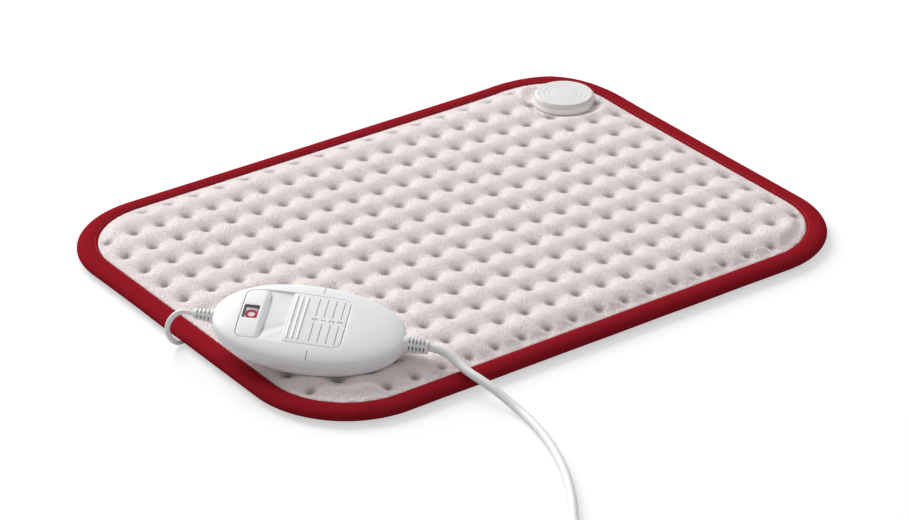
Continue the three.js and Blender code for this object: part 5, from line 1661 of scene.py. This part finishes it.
def mains_line():
    """Mains lead from its relief through the coil to the plug."""
    diameter = settings().leads.mains_lead / MM
    coil, (into, out) = coil_line()
    meet = diameter + GAP
    first = smooth_line([
        *lead_exit(1, MAINS_GLAND, MAINS_LEAD_STRAIGHT),
        *MAINS_LEAD_RUN,
        coil[0] - into * (meet + diameter),
        coil[0] - into * meet,
    ])
    last = smooth_line([
        coil[-1] + out * meet,
        coil[-1] + out * (meet + diameter),
        *placed(MAINS_PLUG, (-GAP - 2 * diameter, 0, 0), (-GAP, 0, 0)),
    ])
    return np.vstack([first, coil, last])


def pad_lead_line():
    """Pad lead from its relief over the edge and under the pad to the coupling's plug."""
    fall = smooth_line([*lead_exit(-1, PAD_GLAND, PAD_LEAD_STRAIGHT), *PAD_LEAD_FALL])
    return np.vstack([fall, smooth_line(lead_under(), steps=LEAD_UNDER_STEPS)])


def lead_piece(name, line, diameter, stands_for):
    """A lead along a line, as a piece that stands for CAD nodes."""
    curve, spline = poly_curve(name, line)
    spline.use_smooth = True
    curve.bevel_depth = diameter / 2
    curve.bevel_resolution = LEAD_BEVEL
    curve.use_fill_caps = True
    curve.materials.append(jacket_finish())
    return ride(linked(name, curve), stands_for=stands_for)


def gland_mesh(end, reach, foot, nose, slots):
    """Strain relief: a tapered core with lips, rings between slots and bridges across them."""
    slot, lip = GLAND_SLOT, GLAND_LIP
    pitch = (reach - 2 * lip - slot) / (slots - 1)
    core = nose / 2 * GLAND_CORE

    def radius(x):
        return (foot + (nose - foot) * x / reach) / 2

    def ring(start, finish, inner):
        soft = GLAND_SOFT
        return along_x(lathe([
            (inner, start),
            (radius(start) - soft, start),
            (radius(start), start + soft),
            (radius(finish), finish - soft),
            (radius(finish) - soft, finish),
            (inner, finish),
        ], GLAND_SIDES))

    first = lip + slot
    jacket, core_shade = jacket_finish(), mask_finish()
    repeat = {
        "pitch": pitch * MM,
        "shrink": 1 - radius(first + pitch) / radius(first),
        "material": jacket,
    }
    core_end = reach - GLAND_CORE_END
    inside = along_x(lathe(
        [(POLE, -GLAND_ROOT), (core, -GLAND_ROOT), (core, core_end), (POLE, core_end)], GLAND_SIDES
    ))
    lips = (ring(-GLAND_LIP_SINK, lip, GLAND_LIP_HOLE), ring(reach - lip, reach, GLAND_LIP_HOLE))
    # the core seen through the slots is painted grey, for the shade that falls in them
    base = two_tone(mesh_of("gland_core", joined(inside, *lips)), jacket, core_shade,
                    lambda face: max(face.vertices) < len(inside[0]))
    one = ring(first, first + pitch - slot, GLAND_RING_HOLE)
    rings = row(mesh_of("gland_ring", one), count=slots - 1, **repeat)
    half = radius(lip) - GLAND_BRIDGE_SINK
    corners = [GLAND_BRIDGE_CORNER] * 4
    plan = rounded_box((-half, -1), (half, 1), corners, x_steps=4, y_steps=2, turn=2)
    bar = np.column_stack([np.zeros(len(plan)), plan[:, 1], plan[:, 0]])
    bars = []
    for lean in GLAND_BRIDGES:
        turned = bar @ np.array(Matrix.Rotation(math.radians(-end * lean), 3, "X"))
        ends = (lip - GLAND_BRIDGE_LAP, first + GLAND_BRIDGE_LAP)
        bars.append(skin([turned + (x, 0, 0) for x in ends], caps=True))
    bridges = row(mesh_of("gland_bridge", joined(*bars)), count=slots, **repeat)
    whole = bmesh.new()
    for mesh in (rings, bridges):
        mesh.polygons.foreach_set("material_index", np.zeros(len(mesh.polygons), int))
    for mesh in (base, rings, bridges):
        whole.from_mesh(mesh)
    made = bpy.data.meshes.new("gland")
    whole.to_mesh(made)
    whole.free()
    made.materials.append(jacket)
    made.materials.append(core_shade)
    if end < 0:
        made.transform(Matrix.Rotation(math.pi, 4, "Z"))
    made.transform(Matrix.Translation(Vector((end * GLAND_FOOT, 0, GLAND_Z)) * MM))
    made.transform(CONTROL)
    return smooth(made)


def plug_mesh():
    """Body of the mains plug, from its boot to its flat end."""
    section = oval(PLUG_SIDES, 2 / PLUG_POWER)
    rings = [
        np.column_stack([np.full(PLUG_SIDES, x), section * (width, height)])
        for x, width, height in smooth_line(PLUG_STATIONS, steps=5)
    ]
    return mesh_of("plug", skin(rings, caps=True), MAINS_PLUG, sharp=PLUG_SHARP)


def plug_grip_mesh():
    """Ridges across the broad faces of the plug, for the fingers."""
    y = np.linspace(-RIDGE_HALF, RIDGE_HALF, RIDGE_STEPS)
    rise = RIDGE_RISE * np.sqrt(np.clip(1 - (y / RIDGE_END) ** RIDGE_END_POWER, 0, 1))
    lumps = [
        ridge(
            RIDGE_X, y, RIDGE_RADIUS, RIDGE_TURN,
            top=lambda plan, up, face=face: face * (RIDGE_FACE + rise * up),
            root=lambda plan, face=face: face * RIDGE_ROOT,
        )
        for face in (-1, 1)
    ]
    mesh = row(mesh_of("grip", joined(*lumps)), count=RIDGE_COUNT, pitch=RIDGE_PITCH * MM,
               material=jacket_finish())
    mesh.transform(MAINS_PLUG)
    return mesh


def pin_mesh(side):
    """Round contact with a sleeve over the half next to the plug."""
    sleeve, tip = (along_x(lathe(profile, PIN_SIDES)) for profile in (PIN_SLEEVE, PIN_TIP))
    points, faces = joined(sleeve, tip)
    points[:, 1] += side * PIN_SIDE
    return two_tone(mesh_of("pin", (points, faces), MAINS_PLUG), brass_finish(), dark_finish(),
                    lambda face: max(face.vertices) < len(sleeve[0]))


def tie_mesh():
    """Strap round the coil's turns, with its free end lapped over the top."""
    lead = settings().leads.mains_lead / MM
    clear = GAP + lead / 2
    half_x = (COIL_PITCH * COIL_TURNS) / 2 + clear
    half_y = COIL_PITCH / 2 + clear

    def loop(grow):
        x, y = half_x + grow, half_y + grow
        return rounded_box((-x, -y), (x, y), [TIE_CORNER + grow] * 4, 12, 8, 8)

    inner, outer = loop(0), loop(TIE_THICKNESS)
    narrow = TIE_HALF - TIE_EDGE
    loops = [
        np.column_stack([plan[:, 0], np.full(len(plan), place), plan[:, 1]])
        for plan, place in (
            (inner, -TIE_HALF), (inner, TIE_HALF), (outer, narrow), (outer, -narrow)
        )
    ]
    low, high = (-half_x + FLAP_ENDS[0], -FLAP_HALF), (half_x - FLAP_ENDS[1], FLAP_HALF)
    lap = rounded_box(low, high, FLAP_CORNERS, 10, 6, 6)
    top = half_y + TIE_THICKNESS
    flap = skin([level(lap, top - FLAP_SINK), level(lap, top + FLAP_RISE)], caps=True)
    middle = COIL_INNER + COIL_PITCH * COIL_TURNS / 2
    turn = Matrix.Rotation(COIL_START + math.pi, 4, "Z")
    place = Matrix.Translation((*COIL_CENTRE * MM, 0)) @ turn
    shift = Matrix.Translation(Vector((middle, 0, COIL_BASE + COIL_PITCH / 2)) * MM)
    return mesh_of("tie", joined(skin(loops, along=True), flap), place @ shift)


# Operators, one for the stage and one for each group of pieces
class HEATPAD_OT_stage(Operator):
    """Makes the camera, the floor and the light"""

    bl_idname = "heatpad.stage"
    bl_label = "Stage"

    def execute(self, context):
        stage = settings().stage
        scene = context.scene
        scene.view_settings.view_transform = "Standard"
        level_share = math.cos(stage.elevation)
        back = Vector((
            math.sin(stage.azimuth) * level_share,
            -math.cos(stage.azimuth) * level_share,
            math.sin(stage.elevation),
        ))
        lens = bpy.data.cameras.new("camera")
        lens.sensor_width = SENSOR_WIDTH
        lens.lens = stage.lens
        lens.clip_start, lens.clip_end = CAMERA_CLIP
        camera = linked("camera", lens)
        camera.location = Vector(stage.aim) + back * stage.distance
        camera.rotation_euler = (-back).to_track_quat("-Z", "Y").to_euler()
        scene.camera = camera

        sheet = bpy.data.meshes.new("floor")
        corners = [(-1, -1), (1, -1), (1, 1), (-1, 1)]
        sheet.from_pydata([(x * FLOOR_REACH, y * FLOOR_REACH, 0) for x, y in corners], [],
                          [(0, 1, 2, 3)])
        sheet.materials.append(floor_finish())
        floor = linked("floor", sheet)
        floor.location.z = -FLOOR_DROP

        world = bpy.data.worlds.new("studio")
        world.use_nodes = True
        fill_inputs(world.node_tree, world.node_tree.nodes["Background"], {
            "Color": (1, 1, 1, 1),
            "Strength": stage.sky,
        })
        scene.world = world

        lamp = bpy.data.lights.new("key", "AREA")
        lamp.shape = "DISK"
        lamp.size = stage.key_size
        lamp.energy = stage.key
        key = linked("key", lamp)
        key.location = stage.key_place
        key.rotation_euler = (-key.location).to_track_quat("-Z", "Y").to_euler()
        return {"FINISHED"}


class HEATPAD_OT_leads(Operator):
    """Lays both leads, with their strain reliefs, the coil's tie and the plug"""

    bl_idname = "heatpad.leads"
    bl_label = "Leads"

    def execute(self, context):
        leads = settings().leads
        jacket = jacket_finish()
        pad_gland = show("pad_lead_relief", gland_mesh(-1, **PAD_GLAND), None,
                         stands_for=["pad_lead_gland"])
        mains_gland = show("mains_lead_relief", gland_mesh(1, **MAINS_GLAND), None,
                           stands_for=["mains_lead_gland"])
        line = pad_lead_line()
        pad_lead = lead_piece("pad_lead_run", line, leads.pad_lead, ["pad_lead", "pad_lead_under"])
        plug = show("plug_body", plug_mesh(), jacket, stands_for=["mains_plug"])
        grip = show("plug_grip", plug_grip_mesh(), jacket)
        pins = [
            show(f"plug_contact_{i + 1}", pin_mesh(side), None,
                 stands_for=[f"plug_pin_{i + 1}"])
            for i, side in enumerate((-1, 1))
        ]
        tie = show("coil_strap", tie_mesh(), dark_finish(), stands_for=["coil_tie"])
        line = mains_line()
        mains = lead_piece("mains_lead_run", line, leads.mains_lead,
                           ["mains_lead", "mains_coil", "mains_lead_tail"])
        return {"FINISHED"}


class HEATPAD_OT_plush(Operator):
    """Makes the tufted plush face and its pile"""

    bl_idname = "heatpad.plush"
    bl_label = "Plush"

    def execute(self, context):
        pad = settings().pad
        step_x, step_y = pad.pitch_x / MM / PLUSH_STEPS[0], pad.pitch_y / MM / PLUSH_STEPS[1]
        rim = pad_outline(TAPE_WIDTH, PLUSH_RIM_STEP)
        hole = HUB_RADIUS + GAP
        ring = COUPLING_PLACE + hole * circle(HUB_SIDES)
        across = len(np.arange(-PAD_LENGTH / 2, PAD_LENGTH / 2, step_x))
        columns = (np.arange(across) - across // 2) * step_x + pad.pitch_x / MM / 2
        along = round(PAD_WIDTH / step_y)
        lines = (np.arange(along) - along // 2) * step_y
        grid = np.stack(np.meshgrid(columns, lines), -1).reshape(-1, 2)
        x, y = grid.T
        clear = inside_outline(x, y, TAPE_WIDTH) > PLUSH_RIM_CLEAR
        grid = grid[clear & (from_coupling(x, y) > hole + PLUSH_HOLE_CLEAR)]

        def kept(x, y):
            inside = inside_outline(x, y, TAPE_WIDTH) > -EDGE_MARGIN
            return inside & (from_coupling(x, y) > hole - HOLE_MARGIN)

        points, faces = filled([rim, ring], grid, kept)
        z, painted_tuft_shade = plush_height(*points.T)
        z[: len(rim)] = PLUSH_RIM + corner_lift(*rim.T)
        floor_points, floor_faces = filled([rim, ring], np.zeros((0, 2)), kept)
        top, under = level(points, z), level(floor_points, PLUSH_BASE)
        count = len(top)
        sides = walls(0, len(rim), count) + walls(len(rim), len(ring), count)
        below = [[index + count for index in face[::-1]] for face in floor_faces.tolist()]
        body = np.vstack([top, under]), faces.tolist() + sides + below
        mesh = mesh_of("plush_face", body, sharp=CLOTH_SHARP)
        # painted shade in the tufts, stored for the finish
        self.shade(mesh, np.concatenate([painted_tuft_shade, np.zeros(len(under))]))
        face = show("plush_face", mesh, plush_finish(), stands_for=["top_cover"])

        ground = mesh_of("pile_ground", (top, faces.tolist()))
        if ground.polygons[0].normal.z < 0:  # an open sheet may be turned either way
            ground.flip_normals()
        # the pile gets the same painted shade
        self.shade(ground, painted_tuft_shade)
        pile = through(
            pile_tree(),
            scratch(ground),
            density=float(pad.pile_count),
            length=pad.pile,
            width=PILE_WIDTH * MM,
            lean=PILE_LEAN,
            seed=PILE_SEED,
            material=plush_finish(),
        )
        show("plush_pile", pile, None)
        return {"FINISHED"}

    def shade(self, mesh, painted_tuft_shade):
        """Stores the weight of painted shade at each point in a tuft, for the finish."""
        stored = mesh.attributes.new("painted_tuft_shade", "FLOAT", "POINT")
        stored.data.foreach_set("value", painted_tuft_shade)


class HEATPAD_OT_underside(Operator):
    """Makes the brushed underside with the dents of the lead and the coupling"""

    bl_idname = "heatpad.underside"
    bl_label = "Underside"

    def execute(self, context):
        inset = TAPE_WIDTH + GAP
        rim = pad_outline(inset, UNDERSIDE_RIM_STEP)
        grid = np.stack(np.meshgrid(
            np.arange(-PAD_LENGTH / 2, PAD_LENGTH / 2, UNDERSIDE_STEP),
            np.arange(-PAD_WIDTH / 2, PAD_WIDTH / 2, UNDERSIDE_STEP),
        ), -1).reshape(-1, 2)
        grid = grid[inside_outline(*grid.T, inset) > UNDERSIDE_RIM_CLEAR]

        def kept(x, y):
            return inside_outline(x, y, inset) > -EDGE_MARGIN

        points, faces = filled([rim], grid, kept)
        bottom = level(points, underside_height(*points.T))
        top, count = level(points, UNDERSIDE_TOP), len(points)
        above = (faces + count).tolist()
        sides = walls(0, len(rim), count)
        body = np.vstack([bottom, top]), faces[:, ::-1].tolist() + sides + above
        mesh = mesh_of("felt_underside", body, sharp=CLOTH_SHARP)
        made = show("felt_underside", mesh, felt_finish(), stands_for=["bottom_cover"])
        return {"FINISHED"}


class HEATPAD_OT_binding(Operator):
    """Folds the tape round the pad's edge and sews it"""

    bl_idname = "heatpad.binding"
    bl_label = "Binding"

    def execute(self, context):
        pad = settings().pad
        section = tape_section()
        outer = pad_outline(0, TAPE_STEP)
        ahead = np.roll(outer, -1, axis=0) - np.roll(outer, 1, axis=0)
        ahead /= np.linalg.norm(ahead, axis=1)[:, None]
        inward = np.column_stack([-ahead[:, 1], ahead[:, 0]])
        place = np.concatenate([[0], np.cumsum(np.linalg.norm(np.diff(outer, axis=0), axis=1))])
        bend = np.clip(1 - np.abs(inside_corner(outer)), 0, 1)
        rings = []
        for k in range(len(outer)):
            inset, z = section.T.copy()
            top = z > TAPE_HIGH - TAPE_TOP
            wander = noise.noise((place[k] * TAPE_WANDER_SCALE, 0.5, 0)) * TAPE_WANDER
            pucker = noise.noise((place[k] * TAPE_PUCKER_SCALE, 5, 0))
            pucker *= TAPE_PUCKER + TAPE_PUCKER_CORNER * bend[k]
            share = np.clip(inset[top] / TAPE_PUCKER_WIDTH, 0, 1)
            z[top] += (wander * TAPE_WANDER_UP + pucker) * np.sin(math.pi * share)
            inset[inset < TAPE_ROUND] += wander * TAPE_WANDER_IN
            plan = outer[k] + inward[k] * inset[:, None]
            rings.append(np.column_stack([plan, z + corner_lift(*outer[k])]))
        body = skin(creased(np.array(rings)), along=True)
        made = show("edge_tape", mesh_of("edge_tape", body, sharp=CLOTH_SHARP), tape_finish(),
                    stands_for=["edge_binding"])

        seam = pad_outline(SEAM_INSET, SEAM_STEP)
        curve, spline = poly_curve("seam", level(seam, SEAM_HEIGHT + corner_lift(*seam.T)))
        spline.use_cyclic_u = True
        stitches = through(
            stitch_tree(),
            scratch(curve),
            spacing=pad.stitch * STITCH_SPACING,
            length=pad.stitch,
            thread=THREAD * MM,
            material=thread_finish(),
        )
        show("edge_stitches", stitches, None)
        return {"FINISHED"}


class HEATPAD_OT_coupling(Operator):
    """Turns the coupling's base and cap"""

    bl_idname = "heatpad.coupling"
    bl_label = "Coupling"

    def execute(self, context):
        seat, lid_seat = COUPLING_SEAT, COUPLING_SEAT + COUPLING_HEIGHT
        points, faces = lathe([
            (POLE, HUB_LOW),
            (HUB_RADIUS - HUB_EDGE, HUB_LOW),
            (HUB_RADIUS, HUB_LOW + HUB_EDGE),
            (HUB_RADIUS, seat),
            *[(COUPLING_RADIUS + out, seat + up) for out, up in COUPLING_WALL],
            (POLE, lid_seat),
        ], COUPLING_SIDES)
        flat = np.array([math.cos(COUPLING_FLAT_YAW), math.sin(COUPLING_FLAT_YAW)])
        over = np.clip(points[:, :2] @ flat - COUPLING_FLAT, 0, None)
        points[:, :2] -= over[:, None] * flat
        cut = rounded_box(CAVITY_LOW, CAVITY_HIGH, [CAVITY_CORNER] * 4, 2, 2, 2)
        cavity = skin([level(cut, CAVITY_LOW[2]), level(cut, CAVITY_HIGH[2])], caps=True)
        mesh = without(mesh_of("coupling_disc", (points, faces)), cavity)
        mesh.transform(COUPLING)
        show("coupling_disc", mesh, disc_finish(), stands_for=["coupling_base"])

        low, top = lid_seat + LID_SEAM, lid_seat + GAP + LID_HEIGHT
        profile = [(POLE, low), (LID_RADIUS, low), (LID_RADIUS - LID_FOOT[0], low + LID_FOOT[1])]
        profile += [(LID_RADIUS - into, top - down) for into, down in LID_EDGE]
        for groove in LID_GROOVES:
            profile += [(groove + out, top - down) for out, down in GROOVE]
        profile += [(LID_DISH, top - LID_DISH_DEPTH), (POLE, top - LID_DISH_DEPTH)]
        lid = mesh_of("coupling_lid", lathe(profile, COUPLING_SIDES), COUPLING, sharp=LID_SHARP)
        show("coupling_lid", lid, cream_finish(), stands_for=["coupling_cap"])
        return {"FINISHED"}


class HEATPAD_OT_housing(Operator):
    """Moulds the controller's two shells, with the marks printed on them"""

    bl_idname = "heatpad.housing"
    bl_label = "Housing"

    def execute(self, context):
        white = housing_finish()
        upper = without(mesh_of("housing_top", upper_shell()), display_pocket())
        upper.transform(CONTROL)
        show("housing_top", upper, white, stands_for=["upper_shell"])
        lower = without(mesh_of("housing_bottom", lower_shell()), screw_bores())
        lower.transform(CONTROL)
        show("housing_bottom", lower, white, stands_for=["lower_shell"])
        width = settings().controller.line / MM
        ticks = joined(*[strip(TICK_X, start, end, width) for start, end in TICKS])
        show("housing_ticks", mesh_of("housing_ticks", ticks, CONTROL), marks_finish())
        return {"FINISHED"}


class HEATPAD_OT_slider(Operator):
    """Makes the slide switch with its grip ribs and printed scale"""

    bl_idname = "heatpad.slider"
    bl_label = "Slide switch"

    def execute(self, context):
        controller = settings().controller
        white = housing_finish()
        show("slide_plate", mesh_of("slide_plate", slider_plate(), CONTROL), white,
             body="slider", stands_for=["slider_switch"])
        ribs = row(mesh_of("rib", grip_rib()), count=controller.ribs, pitch=GRIP_PITCH * MM,
                   material=white)
        ribs.transform(CONTROL)
        show("slide_ribs", ribs, None, body="slider")
        width = controller.line / MM
        near, far = SCALE_LINE
        lines, figures = [], []
        for k in range(SCALE_COUNT):
            x = SCALE_FIRST + k * SCALE_PITCH
            lines += [strip(x, -far, -near, width), strip(x, near, far, width)]
            figures.append(printed_figure(str(k), SCALE_FIGURE, x))
        for name, marks in (("scale_lines", lines), ("scale_figures", figures)):
            show(name, mesh_of(name, joined(*marks), CONTROL), marks_finish(),
                 body="slider")
        return {"FINISHED"}


class HEATPAD_OT_display(Operator):
    """Makes the display's frame, its window and the lit figure"""

    bl_idname = "heatpad.display"
    bl_label = "Display"

    def execute(self, context):
        reach = np.array(WINDOW_HALF) + WINDOW_MARGIN

        def in_window(face):
            return (np.abs(np.array(face.center)[:2] / MM - (WINDOW_X, 0)) < reach).all()

        # the window's walls are painted grey, for the shade that falls in them
        block = two_tone(mesh_of("display_block", display_frame()), housing_finish(), mask_finish(),
                         in_window)
        block.transform(CONTROL)
        show("display_block", block, None, stands_for=["display_frame"])
        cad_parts["window_lens"].data.materials[0] = window_finish()
        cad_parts["digit_display"].data.materials[0] = display_finish()
        plan = oval(LIT_SIDES, LIT_POWER)
        middle = (WINDOW_X + LIT_PLACE[0], LIT_PLACE[1])
        rings = [
            level(middle + plan * half, z)
            for half, z in (
                (LIT_OUTER, LIT_LOW),
                (LIT_OUTER, LIT_HIGH),
                (LIT_INNER, LIT_HIGH),
                (LIT_INNER, LIT_LOW),
            )
        ]
        show("lit_zero", mesh_of("lit_zero", skin(rings, along=True), CONTROL), figure_finish())
        return {"FINISHED"}


class HEATPAD_OT_inner_parts(Operator):
    """Finishes the CAD pieces inside the pad and the controller"""

    bl_idname = "heatpad.inner_parts"
    bl_label = "Inner parts"

    def execute(self, context):
        by_finish = {
            non_woven_finish: ["heater_carrier"],
            wire_finish: ["heating_wire"],
            board_finish: ["circuit_board"],
            steel_finish: [
                "overheat_thermostat_1",
                "overheat_thermostat_2",
                "detent_spring",
                "fuse",
                *[f"housing_screw_{k}" for k in range(1, 5)],
            ],
            brass_finish: [*[f"coupling_pin_{k}" for k in range(1, 4)], "wiper_spring"],
            dark_finish: [
                "contact_carrier",
                "capacitor",
                "triac",
                "pad_lead_terminal",
                "mains_lead_terminal",
            ],
            jacket_finish: ["pad_lead_core", "mains_lead_core"],
            cream_finish: ["coupling_plug"],
            housing_finish: ["coupling_clamp_ring"],
        }
        for finish, nodes in by_finish.items():
            for node in nodes:
                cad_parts[node].data.materials[0] = finish()
        return {"FINISHED"}


OPERATORS = (
    HEATPAD_OT_stage,
    HEATPAD_OT_leads,
    HEATPAD_OT_plush,
    HEATPAD_OT_underside,
    HEATPAD_OT_binding,
    HEATPAD_OT_coupling,
    HEATPAD_OT_housing,
    HEATPAD_OT_slider,
    HEATPAD_OT_display,
    HEATPAD_OT_inner_parts,
)


class HEATPAD_PT_sidebar(Panel):
    """Settings and operators of the dressing"""

    bl_idname = "HEATPAD_PT_sidebar"
    bl_label = "Heating pad"
    bl_space_type = "VIEW_3D"
    bl_region_type = "UI"
    bl_category = "Heating pad"

    def draw(self, context):
        groups = context.scene.heating_pad_settings
        for name in ("stage", "pad", "controller", "leads"):
            box = self.layout.box()
            box.label(text=name.capitalize())
            group = getattr(groups, name)
            for key in group.bl_rna.properties.keys():
                if key not in {"rna_type", "name"}:
                    box.prop(group, key)
        for operator in OPERATORS:
            self.layout.operator(operator.bl_idname)


CLASSES = (
    StageSettings,
    PadSettings,
    ControllerSettings,
    LeadSettings,
    HeatingPadSettings,
    *OPERATORS,
    HEATPAD_PT_sidebar,
)


def register():
    for kind in CLASSES:
        bpy.utils.register_class(kind)
    bpy.types.Scene.heating_pad_settings = PointerProperty(
        type=HeatingPadSettings, name="Heating pad", description="Settings of the dressing"
    )


def unregister():
    del bpy.types.Scene.heating_pad_settings
    for kind in reversed(CLASSES):
        bpy.utils.unregister_class(kind)


def main():
    register()
    bpy.ops.heatpad.stage()
    bpy.ops.heatpad.leads()
    bpy.ops.heatpad.plush()
    bpy.ops.heatpad.underside()
    bpy.ops.heatpad.binding()
    bpy.ops.heatpad.coupling()
    bpy.ops.heatpad.housing()
    bpy.ops.heatpad.slider()
    bpy.ops.heatpad.display()
    bpy.ops.heatpad.inner_parts()
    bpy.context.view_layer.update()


if __name__ == "__main__":
    main()
